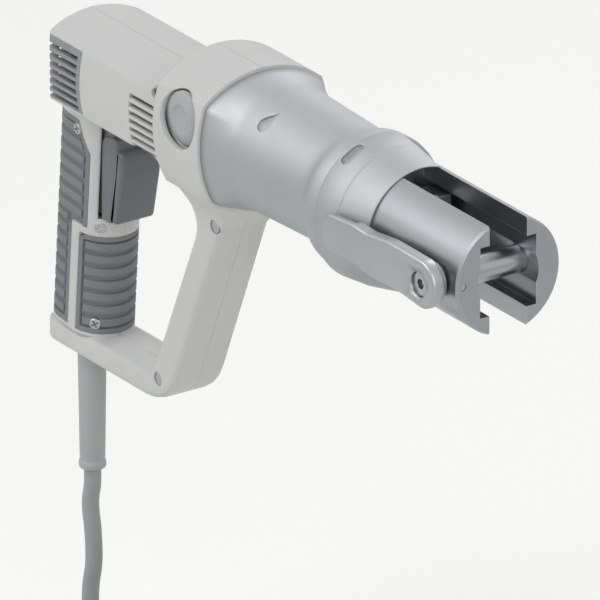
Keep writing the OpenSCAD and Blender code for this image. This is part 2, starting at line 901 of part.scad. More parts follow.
module tapered_sleeve() {
    color("lightgray") difference() {
        translate([0, 0, -collar_drop])
            cone_x(collar_x, sleeve_x, collar_r - collar_step, sleeve_front_d / 2);
        rod_x(collar_x - over, sleeve_x + over, fork_r + run);
        far_window();
    }
}

module jaw_fork() {
    color("gainsboro") difference() {
        union() {
            rod_x(neck_x, collar_back_x, neck_r);
            rod_x(collar_back_x, fork_x - fork_chamfer, fork_r);
            cone_x(fork_x - fork_chamfer, fork_x, fork_r, fork_r - fork_chamfer);
        }
        rod_x(neck_x - over, fork_x + over, bore_d / 2);
        box([fork_x - pocket_len, -pocket_w / 2, axis_z - pocket_h / 2],
            [fork_x + over, pocket_w / 2, axis_z + pocket_h / 2]);
        box([fork_x - pocket_len, -slot_w / 2, axis_z - fork_d],
            [fork_x + over, slot_w / 2, axis_z + fork_d]);
        rod_y(bolt_x, axis_z, -fork_d, bolt_tip_y + open_gap, bolt_r + run);
        translate([0, pin_y, 0]) rod_x(fork_x - pin_len - pin_recess, fork_x + over, pin_r + run / 2);
        difference() {
            rod_x(ring_x - ring_t / 2 - run, ring_x + ring_t / 2 + run, fork_r);
            rod_x(ring_x - ring_t, ring_x + ring_t, neck_r - ring_depth - 2 * run);
        }
    }
}

module detent_pin() {
    color("gray") translate([0, pin_y, 0])
        rod_x(fork_x - pin_len - pin_recess, fork_x - pin_recess, pin_r);
}

module retaining_bolt() {
    color("silver") difference() {
        rod_y(bolt_x, axis_z, lever_in_y, bolt_tip_y, bolt_r);
        rod_y(bolt_x, axis_z, lever_in_y - over, lever_in_y + screw_len, screw_shank_r + run);
        difference() {
            rod_y(bolt_x, axis_z, pin_y - groove_w / 2, pin_y + groove_w / 2, bolt_r + over);
            rod_y(bolt_x, axis_z, pin_y - groove_w, pin_y + groove_w, bolt_r - groove_depth);
        }
    }
}

module lock_lever() {
    points = [for (p = lever_shares) [
        bolt_x + lever_front - p[0] * lever_len, axis_z + p[1] * lever_half, p[2] * lever_half]];
    turned = [for (i = [len(points) - 1 : -1 : 0]) points[i]];
    color("whitesmoke") difference() {
        union() {
            rounded_slab(turned, lever_out_y, lever_out_y + lever_t, lever_bevel, loop_steps, edge_steps);
            rod_y(bolt_x, axis_z, lever_out_y + lever_t / 2, lever_in_y, lever_boss_r);
        }
        box([bolt_x - lever_len, 2 * run - collar_r - lever_gap, axis_z - lever_len],
            [sleeve_x + lever_relief, 0, axis_z + lever_len]);
        rod_y(bolt_x, axis_z, lever_out_y - over, lever_out_y + screw_head_h + screw_recess,
            screw_head_r + 2 * run);
        rod_y(bolt_x, axis_z, lever_out_y, lever_in_y + over, screw_shank_r + run);
    }
}

module lever_screw() {
    face_y = lever_out_y + screw_recess;
    color("silver") difference() {
        union() {
            rod_y(bolt_x, axis_z, face_y, face_y + screw_head_h, screw_head_r);
            rod_y(bolt_x, axis_z, face_y, lever_in_y + screw_len - run, screw_shank_r);
        }
        rod_y(bolt_x, axis_z, face_y - over, face_y + hex_depth, hex_r, $fn = 6);
    }
}

module press_cylinder() {
    color("gray") difference() {
        rod_x(cylinder_x, cylinder_x + cylinder_len, cylinder_r);
        rod_x(cylinder_x + cylinder_floor, cylinder_x + cylinder_len + over, piston_r + run);
    }
}

module rod_guide() {
    color("silver") difference() {
        rod_x(guide_x, guide_x + guide_t, piston_r);
        rod_x(guide_x - over, guide_x + guide_t + over, rod_r + run);
    }
}

module press_piston() {
    color("silver") union() {
        rod_x(piston_x, piston_x + piston_t, piston_r);
        rod_x(piston_x, carriage_x, rod_r);
    }
}

module return_spring() {
    wire_r = spring_wire / 2;
    color("silver") tube(spring_path(piston_x + piston_t + wire_r + run, guide_x - wire_r - run,
        spring_r, spring_turns, spring_rings, axis_z), wire_r, coil_sides, [1, 0, 0]);
}

module roller_carriage() {
    clevis_x = carriage_x + carriage_t;
    color("gray") difference() {
        union() {
            rod_x(carriage_x, clevis_x, bore_d / 2 - 2 * run);
            for (s = [-1, 1]) translate([0, s * (roller_w + clevis_t + open_gap) / 2, axis_z])
                box([clevis_x - over, -clevis_t / 2, -clevis_h / 2],
                    [clevis_x + clevis_len, clevis_t / 2, clevis_h / 2]);
        }
        for (s = [-1, 1]) {
            z = axis_z + s * roller_split / 2;
            rod_y(roller_x, z, -pocket_w, pocket_w, roller_pin_r + run / 2);
            rod_y(roller_x, z, -roller_w / 2 - run, roller_w / 2 + run, roller_r + open_gap / 2);
        }
    }
}

module roller(side) {
    z = axis_z + side * roller_split / 2;
    difference() {
        rod_y(roller_x, z, -roller_w / 2, roller_w / 2, roller_r);
        rod_y(roller_x, z, -roller_w, roller_w, roller_pin_r + run);
    }
}

module roller_upper() {
    color("silver") roller(1);
}

module roller_lower() {
    color("silver") roller(-1);
}

module roller_pins() {
    half = roller_w / 2 + clevis_t;
    color("gray") for (s = [-1, 1])
        rod_y(roller_x, axis_z + s * roller_split / 2, -half, half, roller_pin_r);
}

module pump_block() {
    color("gray") difference() {
        rod_x(pump_x, cylinder_x, cylinder_r);
        rod_x(pump_x - over, pump_x + bearing_t, shaft_r + run, gear_z);
    }
}

module bearing_plate() {
    color("gray") difference() {
        along_x(plate_x, plate_x + plate_t) gear_section(wall + seat);
        rod_x(plate_x - over, plate_x + plate_t + over, shaft_r + open_gap, motor_z);
        rod_x(plate_x - over, plate_x + plate_t + over, shaft_r + run, gear_z);
        rod_y(button_x, button_z, -gear_half, cup_y + cup_floor + open_gap, cup_r + open_gap);
    }
}

// Spur gear outline with involute flanks and a little backlash
function involute(a) = tan(a) * 180 / PI - a;
function flank(teeth, share) =
    let (pitch_r = gear_module * teeth / 2, base_r = pitch_r * cos(pressure_turn))
    let (r = base_r + (pitch_r + addendum_share * gear_module - base_r) * share)
    let (half = 90 / teeth * tooth_share + involute(pressure_turn) - involute(acos(base_r / r)))
    [r, half];
function tooth(teeth, at) =
    let (root_r = gear_module * (teeth / 2 - dedendum_share), low = flank(teeth, 0))
    let (up = [for (s = flank_shares) flank(teeth, s)])
    let (down = [for (i = [len(up) - 1 : -1 : 0]) up[i]])
    concat([root_r * [cos(at - low[1]), sin(at - low[1])]],
        [for (f = up) f[0] * [cos(at - f[1]), sin(at - f[1])]],
        [for (f = down) f[0] * [cos(at + f[1]), sin(at + f[1])]],
        [root_r * [cos(at + low[1]), sin(at + low[1])]]);

module spur_gear(teeth, phase, z, bore_r) {
    difference() {
        translate([gear_x, 0, z]) rotate([90, 0, 90]) linear_extrude(gear_w)
            polygon([for (i = [0 : teeth - 1]) each tooth(teeth, phase + 360 * i / teeth)]);
        rod_x(gear_x - over, gear_x + gear_w + over, bore_r, z);
    }
}

module motor_pinion() {
    color("silver") spur_gear(pinion_teeth, 90, motor_z, shaft_r);
}

module drive_gear() {
    color("silver") spur_gear(gear_teeth, 180 / gear_teeth - 90, gear_z, shaft_r);
}

module eccentric_shaft() {
    color("gray") union() {
        rod_x(plate_x, pump_x + bearing_t - open_gap, shaft_r, gear_z);
        translate([0, eccentric_shift, 0])
            rod_x(eccentric_x, eccentric_x + eccentric_w, eccentric_r, gear_z);
    }
}

module motor_stator() {
    color("gray") difference() {
        rod_x(stator_x, stator_x + stator_len, stator_r, motor_z);
        rod_x(stator_x - over, stator_x + stator_len + over, armature_r + open_gap, motor_z);
    }
}

module motor_shaft() {
    color("silver") rod_x(rear_bearing_x, gear_x + gear_w + over, shaft_r, motor_z);
}

module armature_core() {
    color("peru") difference() {
        rod_x(armature_x, armature_x + armature_len, armature_r, motor_z);
        rod_x(armature_x - over, armature_x + armature_len + over, shaft_r, motor_z);
    }
}

module commutator() {
    color("peru") difference() {
        rod_x(commutator_x, commutator_x + commutator_len, commutator_r, motor_z);
        rod_x(commutator_x - over, commutator_x + commutator_len + over, shaft_r, motor_z);
    }
}

module cooling_fan() {
    color("black") difference() {
        union() {
            rod_x(fan_x, fan_x + fan_t, fan_hub_r, motor_z);
            rod_x(fan_x, fan_x + fan_plate_t, fan_r, motor_z);
            for (i = [0 : fan_blades - 1])
                translate([fan_x, 0, motor_z]) rotate([360 * i / fan_blades, 0, 0])
                    box([0, -fan_blade_t / 2, fan_hub_r - over], [fan_t, fan_blade_t / 2, fan_r - over]);
        }
        rod_x(fan_x - over, fan_x + fan_t + over, shaft_r, motor_z);
    }
}

module ball_bearing(x) {
    difference() {
        rod_x(x, x + bearing_t, bearing_r, motor_z);
        rod_x(x - over, x + bearing_t + over, shaft_r + run, motor_z);
    }
}

module rear_bearing() {
    color("silver") ball_bearing(rear_bearing_x);
}

module front_bearing() {
    color("silver") ball_bearing(front_bearing_x);
}

module brush_holders() {
    x = rear_bearing_x + bearing_t;
    color("goldenrod") for (s = [-1, 1])
        translate([x, s * (commutator_r + swivel_gap + brush_len / 2), motor_z])
            box([0, -brush_len / 2, -brush_w / 2], [brush_w, brush_len / 2, brush_w / 2]);
}

module bend_relief() {
    color("dimgray") translate([relief_x, 0, relief_end_z]) union() {
        cylinder(h = relief_len, r1 = relief_end_r, r2 = relief_r);
        cylinder(h = relief_ring_h, r = relief_ring_r);
        translate([0, 0, relief_len]) cylinder(h = relief_hold - over / 2, r = relief_r);
    }
}

module power_cord() {
    color("silver") tube(lead_points, cord_r, cord_sides, [1.5, 1, 0]);
}

// The coil in its own frame, on the layer that lies lowest, then turned and moved onto the cord's end
coil_turns = layer_turns * coil_layers;
function ramp(t) = let (c = min(max(t, 0), 1)) c * c * (3 - 2 * c);
function climb(turn) = [for (j = [1 : coil_layers - 1]) ramp((turn - j * layer_turns) * 2 + 0.5)];
function total(list) = list * [for (v = list) 1];
function coil_radius(turn) =
    let (m = min(floor(turn / layer_turns), coil_layers - 1), f = turn - m * layer_turns)
    coil_r - coil_pitch * (m % 2 == 0 ? f : layer_turns - f);
function polar(a, r, z) = [r * cos(a), r * sin(a), z];
function coil_at(turn) = polar(360 * turn, coil_radius(turn), coil_pitch * total(climb(turn)));
coil_steps = round(coil_turns * loop_rings);
coil_loops = [for (i = [0 : coil_steps]) coil_at(coil_turns * i / coil_steps)];
coil_way = unit(coil_loops[1] - coil_loops[0]);
coil_end = coil_loops[coil_steps];
coil_end_way = unit(coil_end - coil_loops[coil_steps - 1]);
coil_path = concat([coil_loops[0] - cord_d * coil_way], coil_loops, [coil_end + cord_d * coil_end_way]);
lead_end = lead_points[len(lead_points) - 1];
lead_way = lead_end - lead_points[len(lead_points) - 2];
coil_turned = atan2(lead_way[1], lead_way[0]) - atan2(coil_way[1], coil_way[0]);
coil_start = coil_path[0];
top_z = coil_pitch * (coil_layers - 1);

module at_coil() {
    translate(lead_end) rotate([0, 0, coil_turned]) translate(-coil_start) children();
}

// Least clear gap of the coil to itself, measured between points over half a turn apart
coil_gap = min([for (i = [0 : coil_steps], j = [i + loop_rings / 2 : coil_steps])
    norm(coil_loops[i] - coil_loops[j])]) - cord_d;
echo(coil_gap = coil_gap);

module cord_coil() {
    color("silver") at_coil() tube(coil_path, cord_r, coil_sides, [0, 0, 1]);
}

// The tail climbs over the top layer and runs straight into the plug
end_turn = 360 * coil_turns;
tail_bends = [for (p = tail_route) polar(end_turn + p[0], coil_r + p[1], top_z + p[2])];
tail_last = tail_bends[len(tail_bends) - 1];
tail_aim = tail_last - tail_bends[len(tail_bends) - 2];
plug_way = unit([tail_aim[0], tail_aim[1], 0]);
plug_lift = coil_pitch / 2 + plug_t / 2 + seat;
plug_at = [tail_last[0], tail_last[1], top_z + plug_lift] + plug_run * plug_way;
tail_start = coil_path[len(coil_path) - 1];
tail_path = concat([tail_start, tail_start + cord_r * coil_end_way], tail_bends,
    [plug_at - cord_d * plug_way, plug_at]);

module cord_tail() {
    color("silver") at_coil() tube(tail_path, cord_r, cord_sides, [0, 0, 1]);
}

module coil_strap() {
    outer = coil_r + cord_r + 2 * seat;
    bundle_r = coil_r - coil_pitch * layer_turns - cord_r;
    inner = sqrt(pow(bundle_r, 2) - pow(strap_w / 2, 2)) - 2 * seat;
    low = -cord_r - seat;
    high = top_z + cord_r + 2 * seat;
    color("black") at_coil() rotate([0, 0, end_turn - 90]) difference() {
        box([inner - strap_t, -strap_w / 2, low - strap_t], [outer + strap_t, strap_w / 2, high + strap_t]);
        box([inner, -strap_w, low], [outer, strap_w, high]);
    }
}

module at_plug() {
    at_coil() translate(plug_at) rotate([0, 0, atan2(plug_way[1], plug_way[0])]) children();
}

module plug_body() {
    body_x = plug_neck_len;
    color("silver") at_plug() union() {
        rotate([0, 90, 0]) cylinder(h = plug_neck_len + over, r1 = cord_r + over, r2 = plug_neck_r);
        hull() {
            for (y = [-1, 1], z = [-1, 1])
                translate([body_x, y * (plug_w / 2 - plug_round), z * (plug_t / 2 - plug_round)])
                    rotate([0, 90, 0]) cylinder(h = plug_len - plug_neck_len, r = plug_round, $fn = hull_fn);
        }
    }
}

module plug_pins() {
    color("gold") at_plug() for (s = [-1, 1])
        translate([plug_len, s * plug_pin_split / 2, 0])
            rotate([0, 90, 0]) cylinder(h = plug_pin_len, r = plug_pin_r);
}

casing_right();
casing_left();
rear_cap();
grip_rear_pad();
grip_front_cover();
trigger();
trigger_spring();
switch_body();
control_board();
release_button();
casing_screws();
nose_cone();
swivel_ring();
swivel_collar();
tapered_sleeve();
jaw_fork();
detent_pin();
retaining_bolt();
lock_lever();
lever_screw();
press_cylinder();
rod_guide();
press_piston();
return_spring();
roller_carriage();
roller_upper();
roller_lower();
roller_pins();
pump_block();
bearing_plate();
motor_pinion();
drive_gear();
eccentric_shaft();
motor_stator();
motor_shaft();
armature_core();
commutator();
cooling_fan();
rear_bearing();
front_bearing();
brush_holders();
bend_relief();
power_cord();
cord_coil();
cord_tail();
coil_strap();
plug_body();
plug_pins();
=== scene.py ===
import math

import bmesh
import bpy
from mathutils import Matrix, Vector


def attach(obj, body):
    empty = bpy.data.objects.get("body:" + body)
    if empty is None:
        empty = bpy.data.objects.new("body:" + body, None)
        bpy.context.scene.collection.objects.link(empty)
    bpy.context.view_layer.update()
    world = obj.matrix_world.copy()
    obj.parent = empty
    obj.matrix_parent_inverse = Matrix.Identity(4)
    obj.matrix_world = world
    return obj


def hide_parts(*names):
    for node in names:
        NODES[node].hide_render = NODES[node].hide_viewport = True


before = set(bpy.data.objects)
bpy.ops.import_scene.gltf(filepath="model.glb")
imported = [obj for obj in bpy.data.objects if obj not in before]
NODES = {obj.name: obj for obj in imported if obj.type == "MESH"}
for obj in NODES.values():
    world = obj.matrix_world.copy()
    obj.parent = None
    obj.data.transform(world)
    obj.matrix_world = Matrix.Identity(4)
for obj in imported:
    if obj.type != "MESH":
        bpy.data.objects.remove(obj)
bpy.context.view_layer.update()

# %% [markdown]
# # A corded press tool, dressed over its CAD frame
#
# The tool is a pistol-shaped electric press for pipe fittings. A motor and pump sit in the
# moulded casing, a steel fork at the front carries the press jaws, and a mains lead leaves the
# foot of the grip. The CAD model is loaded first and stays as it is: it gives every place and
# size below. This script adds what the solids leave out, which is rims and bars on the grip, rolled
# edges, small screws, finishes, a smooth cord, light and a camera.

MM = 0.001

# %% [markdown]
# ## Camera
#
# The picture is a technical drawing with parallel lines, so nothing in it shrinks with distance.
# An orthographic camera would do, but a very long lens from far away gives the same look and
# still frames the tool when the other views move the camera. The angles were measured from the
# drawing's own three axes: it looks from the front right of the tool, 23 degrees down.

# %% Camera
AIM = Vector((0.1785, 0.0, 0.0243))
AZIMUTH, ELEVATION = math.radians(55.7), math.radians(23.2)
LENS, SENSOR = 1200.0, 36.0
PICTURE_WIDTH = 294.7 * MM
CLIP_END = 60.0

back = Vector((math.sin(AZIMUTH) * math.cos(ELEVATION),
               -math.cos(AZIMUTH) * math.cos(ELEVATION), math.sin(ELEVATION)))
camera = bpy.data.objects.new("camera", bpy.data.cameras.new("camera"))
camera.data.lens, camera.data.sensor_width = LENS, SENSOR
camera.location = AIM + back * (PICTURE_WIDTH * LENS / SENSOR)
camera.rotation_euler = (-back).to_track_quat("-Z", "Y").to_euler()
camera.data.clip_end = CLIP_END
bpy.context.scene.collection.objects.link(camera)
bpy.context.scene.camera = camera
print("camera stands", round((camera.location - AIM).length, 2), "m from the tool")

# %% [markdown]
# ## The mains lead
#
# A lead like this is about four metres of rubber-sheathed cable. The drawing shows only some eighty
# millimetres, which hang from the bend relief with a slight wave. The rest is put away as it would
# be on a shelf: it reaches the floor, is wound into a flat coil of four layers, and the end climbs
# over the coil to a plug that lies on top. One Bezier curve with automatic handles passes through
# all of it, because a line of straight pieces would need far more points to bend as smoothly. Its
# points repeat the CAD route, in millimetres.

# %% The route of the lead, in millimetres
CORD_D = 8.8
LAY_Z = -248.15
COIL_R, COIL_PITCH, LAYER_TURNS, LAYERS = 68.0, 9.5, 2.75, 4
TURN_POINTS, CLIMB = 16, 0.5     # points on each turn, and the turns that a climb to the next layer takes
FIRST_STEP = 1 / 24        # the share of a turn over which the coil's first direction is taken
LEAD = [(-6, 0, -131.5), (-6, 0, -140), (-8, 0, -152), (-6.5, 0.5, -168), (-6, 0.5, -184),
        (-8, 0, -198), (-8, -0.5, -211), (-6.5, -2.5, -225), (-2, -9.5, -237.5),
        (5, -20, -245.5), (13, -31.5, LAY_Z), (18, -39, LAY_Z), (23, -46.5, LAY_Z)]
TAIL = [(28, 1, 2.5), (45, -0.5, 5.5), (62, -3.5, 8.5), (80, -8, 11.5), (98, -14, 14),
        (114, -20, 16), (128, -24.5, 17.5)]
PLUG_RUN, PLUG_LIFT = 24.0, 17.9


def polar(degrees, radius, height):
    """A point on a circle round the coil's own axis."""
    turn = math.radians(degrees)
    return Vector((radius * math.cos(turn), radius * math.sin(turn), height))


def layer_rise(turn):
    """How many layers up the cord has climbed by that turn."""
    steps = [min(max((turn - j * LAYER_TURNS) / CLIMB + 0.5, 0), 1) for j in range(1, LAYERS)]
    return sum(c * c * (3 - 2 * c) for c in steps)


def coil_point(turn):
    """A point on the coil, which winds inwards on one layer and outwards on the next."""
    layer = min(int(turn / LAYER_TURNS), LAYERS - 1)
    inwards = turn - layer * LAYER_TURNS
    steps = inwards if layer % 2 == 0 else LAYER_TURNS - inwards
    return polar(360 * turn, COIL_R - COIL_PITCH * steps, COIL_PITCH * layer_rise(turn))


TURNS = LAYER_TURNS * LAYERS
way_in = (coil_point(FIRST_STEP) - coil_point(0)).normalized()
coil_start = coil_point(0) - CORD_D * way_in
lead_end = Vector(LEAD[-1])
lead_way = lead_end - Vector(LEAD[-2])
turned = math.atan2(lead_way.y, lead_way.x) - math.atan2(way_in.y, way_in.x)
to_floor = (Matrix.Translation(lead_end) @ Matrix.Rotation(turned, 4, "Z")
            @ Matrix.Translation(-coil_start))

top_z = COIL_PITCH * (LAYERS - 1)
tail = [polar(360 * TURNS + a, COIL_R + out, top_z + up) for a, out, up in TAIL]
plug_way = Vector((tail[-1] - tail[-2])).to_2d().normalized().to_3d()
plug_at = Vector((tail[-1].x, tail[-1].y, top_z + PLUG_LIFT)) + PLUG_RUN * plug_way
winding = [coil_point(i / TURN_POINTS) for i in range(1, round(TURNS * TURN_POINTS) + 1)]
coiled = winding + tail + [plug_at - CORD_D * plug_way, plug_at]
route = [Vector(p) for p in LEAD] + [to_floor @ p for p in coiled]
print("the lead's curve has", len(route), "points")

# %% [markdown]
# ## How the finishes are made
#
# Each finish is a small node tree. One function turns the hex colours of a paint card into the
# linear values that Blender's sockets take, and one adds a node with its settings and links.
# A moulded or machined surface needs the same four things: a slow drift of colour, a fine grain
# in its relief, edges that are rounded off a little, and paler rubbed corners. The Bevel node
# gives the last two without touching the CAD mesh: it looks at the surface round each point.

# %% Colour and node helpers
def linear(hex_colour):
    """A hex colour in sRGB as the linear RGBA of Blender's sockets."""
    parts = [int(hex_colour[i:i + 2], 16) / 255 for i in (1, 3, 5)]
    return [c / 12.92 if c <= 0.04045 else ((c + 0.055) / 1.055) ** 2.4 for c in parts] + [1.0]


def add(tree, kind, inputs, **settings):
    """Adds one node. A socket in inputs is linked, any other value is set on the input."""
    node = tree.nodes.new(kind)
    for name, value in settings.items():
        setattr(node, name, value)
    for name, value in inputs.items():
        if isinstance(value, bpy.types.NodeSocket):
            tree.links.new(value, node.inputs[name])
        else:
            node.inputs[name].default_value = value
    return node


print("the middle grey #808080 is", round(linear("#808080")[0], 3), "in linear light")

# %% One recipe for moulded, cast and machined surfaces
FROM, TO, MIXED = 6, 7, 2   # the colour sockets of a Mix node, by number
CELL_SHARE = 0.5            # a noise cell spans two grains
EDGE_FROM, EDGE_TO = 0.985, 0.86   # cosines between which an edge goes from clean to rubbed
MOST_RUBBED = 0.7
SLOW_FROM, SLOW_TO, MATT_DRIFT = 0.3, 0.7, 0.05   # nearly all of a noise lies between the first two


def surface(name, colour, drift, worn, roughness, grain, depth, metallic=0.0, edge=0.8,
            stretch=(1, 1, 1), patch=30.0):
    """A finish whose grain, relief depth, edge radius and colour patches are in millimetres."""
    material = bpy.data.materials.new(name)
    material.use_nodes = True
    tree = material.node_tree
    tree.nodes.clear()
    place = add(tree, "ShaderNodeTexCoord", {}).outputs["Object"]
    drawn = add(tree, "ShaderNodeMapping", {"Vector": place, "Scale": stretch}).outputs["Vector"]
    fine = add(tree, "ShaderNodeTexNoise",
               {"Vector": drawn, "Scale": CELL_SHARE / (grain * MM), "Detail": 2.0}).outputs["Fac"]
    slow = add(tree, "ShaderNodeTexNoise",
               {"Vector": place, "Scale": CELL_SHARE / (patch * MM), "Detail": 4.0}).outputs["Fac"]
    rounded = add(tree, "ShaderNodeBevel", {"Radius": edge * MM}, samples=6).outputs["Normal"]
    flat = add(tree, "ShaderNodeNewGeometry", {}).outputs["Normal"]
    alike = add(tree, "ShaderNodeVectorMath", {0: rounded, 1: flat},
                operation="DOT_PRODUCT").outputs["Value"]
    rubbed = add(tree, "ShaderNodeMapRange",
                 {"Value": alike, "From Min": EDGE_FROM, "From Max": EDGE_TO,
                  "To Max": MOST_RUBBED}).outputs["Result"]
    body = add(tree, "ShaderNodeMix", {"Factor": slow, FROM: linear(colour), TO: linear(drift)},
               data_type="RGBA").outputs[MIXED]
    tinted = add(tree, "ShaderNodeMix", {"Factor": rubbed, FROM: body, TO: linear(worn)},
                 data_type="RGBA").outputs[MIXED]
    matt = add(tree, "ShaderNodeMapRange",
               {"Value": slow, "From Min": SLOW_FROM, "From Max": SLOW_TO,
                "To Min": roughness - MATT_DRIFT,
                "To Max": roughness + MATT_DRIFT}).outputs["Result"]
    relief = add(tree, "ShaderNodeBump", {"Height": fine, "Distance": depth * MM,
                                          "Strength": 1.0, "Normal": rounded}).outputs["Normal"]
    shader = add(tree, "ShaderNodeBsdfPrincipled",
                 {"Base Color": tinted, "Roughness": matt, "Normal": relief,
                  "Metallic": metallic})
    add(tree, "ShaderNodeOutputMaterial", {"Surface": shader.outputs["BSDF"]})
    return material


print("helpers for finishes are ready")

# %% [markdown]
# ## Rubber for the lead, and the lead itself
#
# The sheath is grey rubber: matt, with a soft drift where it has been handled. A curve with a
# round bevel is the natural cord in Blender, since its own line is the cord's centre line.

# %% The lead
sheath_rubber = surface("rubber_sheath_extruded", "#A9ABAC", "#9C9EA0", "#B6B8B8", 0.62,
                        grain=0.8, depth=0.03, edge=0.5)
line = bpy.data.curves.new("mains_lead", "CURVE")
line.dimensions = "3D"
line.resolution_u = 6
spline = line.splines.new("BEZIER")
spline.bezier_points.add(len(route) - 1)
for knot, point in zip(spline.bezier_points, route):
    knot.co = point * MM
    knot.handle_left_type = knot.handle_right_type = "AUTO"
line.bevel_depth = CORD_D / 2 * MM
line.bevel_resolution = 4
line.use_fill_caps = True
line.materials.append(sheath_rubber)
lead = bpy.data.objects.new("mains_lead", line)
bpy.context.scene.collection.objects.link(lead)
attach(lead, "casing")
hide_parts("power_cord", "cord_coil", "cord_tail")
print("the lead runs through", len(spline.bezier_points), "knots")

# %% [markdown]
# ## Pieces made with bmesh
#
# Every new piece below is drawn in millimetres in the tool's own frame, and one function scales
# it to metres, turns its faces outwards, smooths its gentle edges and hands it to a CAD body. The
# editor's operators could shape the pieces too, but they act on what is selected. Those of bmesh
# are told which points, edges and faces to work on, so a script can rely on them.

# %% Helpers for new pieces
WELD = 0.001      # points nearer to each other than this, in millimetres, become one


def finished(name, bm, body, material, replaced=(), crease=35.0):
    """Makes an object of a bmesh in millimetres; edges sharper than crease degrees stay crisp."""
    bmesh.ops.remove_doubles(bm, verts=bm.verts, dist=WELD)
    bmesh.ops.recalc_face_normals(bm, faces=bm.faces)
    bmesh.ops.scale(bm, vec=(MM, MM, MM), verts=bm.verts)
    mesh = bpy.data.meshes.new(name)
    bm.to_mesh(mesh)
    bm.free()
    mesh.shade_smooth()
    mesh.set_sharp_from_angle(angle=math.radians(crease))
    mesh.materials.append(material)
    piece = bpy.data.objects.new(name, mesh)
    bpy.context.scene.collection.objects.link(piece)
    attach(piece, body)
    if replaced:
        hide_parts(*replaced)
    print(name, "has", len(mesh.polygons), "faces")
    return piece


def new_verts(geom):
    """The vertices among the results of an operator."""
    return [g for g in geom if isinstance(g, bmesh.types.BMVert)]


def spun(bm, profile, place, steps=64):
    """Turns (along, radius) pairs round the x axis, as on a lathe, and moves them to place."""
    kept = set(bm.verts)
    ring = [bm.verts.new((along, 0, radius)) for along, radius in profile]
    edges = [bm.edges.new(pair) for pair in zip(ring, ring[1:])]
    bmesh.ops.spin(bm, geom=ring + edges, cent=(0, 0, 0), axis=(1, 0, 0),
                   angle=2 * math.pi, steps=steps, use_merge=True)
    made = [v for v in bm.verts if v not in kept]
    bmesh.ops.transform(bm, matrix=place, verts=made)


print("helpers for pieces are ready")

# %% [markdown]
# ## Bend relief
#
# Where the lead leaves the foot, a moulded rubber sleeve stops it from kinking. It tapers towards
# the cord and ends in a ring. A cylinder could be scaled ring by ring, but this is a lathe shape,
# so a profile is spun round the cord's axis, and its sizes stand together in two short lists.

# %% Bend relief
RELIEF_X, FOOT_DOWN, RELIEF_DOWN = -6.0, 64.5, 131.5   # the last two are measured downwards
SLEEVE_R, NECK_R, RING_R, RELIEF_ROOT = 7.3, 6.45, 7.0, 7.0
downwards = Matrix.Translation((RELIEF_X, 0, 0)) @ Matrix.Rotation(math.radians(90), 4, "Y")
bm = bmesh.new()
foot_profile = [(-RELIEF_ROOT, 0), (-RELIEF_ROOT, SLEEVE_R), (0.3, SLEEVE_R + 0.05),
                (1, SLEEVE_R - 0.2), (2, SLEEVE_R)]
ring_profile = [(-5.5, NECK_R), (-4.7, NECK_R - 0.25), (-4.1, NECK_R - 0.1), (-3.5, RING_R - 0.15),
                (-2.5, RING_R), (-1.2, RING_R), (-0.3, RING_R - 0.3), (0, RING_R - 0.9),
                (0, CORD_D / 2 + 0.5), (-1.2, CORD_D / 2 + 0.1), (-1.2, 0)]
spun(bm, [(FOOT_DOWN + along, radius) for along, radius in foot_profile]
     + [(RELIEF_DOWN + along, radius) for along, radius in ring_profile], downwards)
relief_rubber = surface("rubber_moulded_relief", "#B7B9BA", "#ABADAF", "#C4C6C6", 0.55,
                        grain=0.7, depth=0.03)
finished("bend_relief_sleeve", bm, "casing", relief_rubber, ["bend_relief"])

# %% [markdown]
# ## Strap round the coil
#
# A strap of woven hook-and-loop tape holds the coil together. Its section follows the bundle: a
# rectangle whose corners are rounded, pulled to the width of the tape and given a thickness. A
# curve with a flat section could go round the bundle as well, but it tends to twist in the corners.

# %% Strap
STRAP_T, STRAP_W, STRAP_BEND = 1.3, 14.0, 3.5
STRAP_SLACK, STRAP_UNDER = 0.3, 0.15
bundle_in = math.sqrt((COIL_R - COIL_PITCH * LAYER_TURNS - CORD_D / 2) ** 2 - (STRAP_W / 2) ** 2)
inner, outer = bundle_in - STRAP_SLACK, COIL_R + CORD_D / 2 + STRAP_SLACK
bottom, top = -CORD_D / 2 - STRAP_UNDER, top_z + CORD_D / 2 + STRAP_SLACK
at_strap = to_floor @ Matrix.Rotation(math.radians(360 * TURNS - 90), 4, "Z")
bm = bmesh.new()
corners = [bm.verts.new((x, -STRAP_W / 2, z))
           for x, z in ((inner, bottom), (outer, bottom), (outer, top), (inner, top))]
bmesh.ops.contextual_create(bm, geom=corners)
bmesh.ops.bevel(bm, geom=list(bm.verts), offset=STRAP_BEND, segments=5, profile=0.5,
                affect="VERTICES", material=-1)
bmesh.ops.delete(bm, geom=list(bm.faces), context="FACES_ONLY")
pulled = bmesh.ops.extrude_edge_only(bm, edges=list(bm.edges))["geom"]
bmesh.ops.translate(bm, vec=(0, STRAP_W, 0), verts=new_verts(pulled))
bmesh.ops.recalc_face_normals(bm, faces=bm.faces)
bmesh.ops.solidify(bm, geom=list(bm.faces), thickness=-STRAP_T)
bmesh.ops.transform(bm, matrix=at_strap, verts=bm.verts)
strap_tape = surface("nylon_tape_woven", "#3B3D40", "#33353A", "#55585B", 0.8,
                     grain=0.9, depth=0.12, stretch=(1, 1, 3))
strap = finished("coil_strap_tape", bm, "casing", strap_tape, ["coil_strap"])

# %% [markdown]
# ## Plug
#
# A moulded plug with two round pins. The body is a box with its edges rolled over, and an inset
# with a depth presses finger grooves into its sides. Cuts could make the grooves too, but an inset
# leaves tidy four-sided faces. The neck is turned and tapers to the cord.

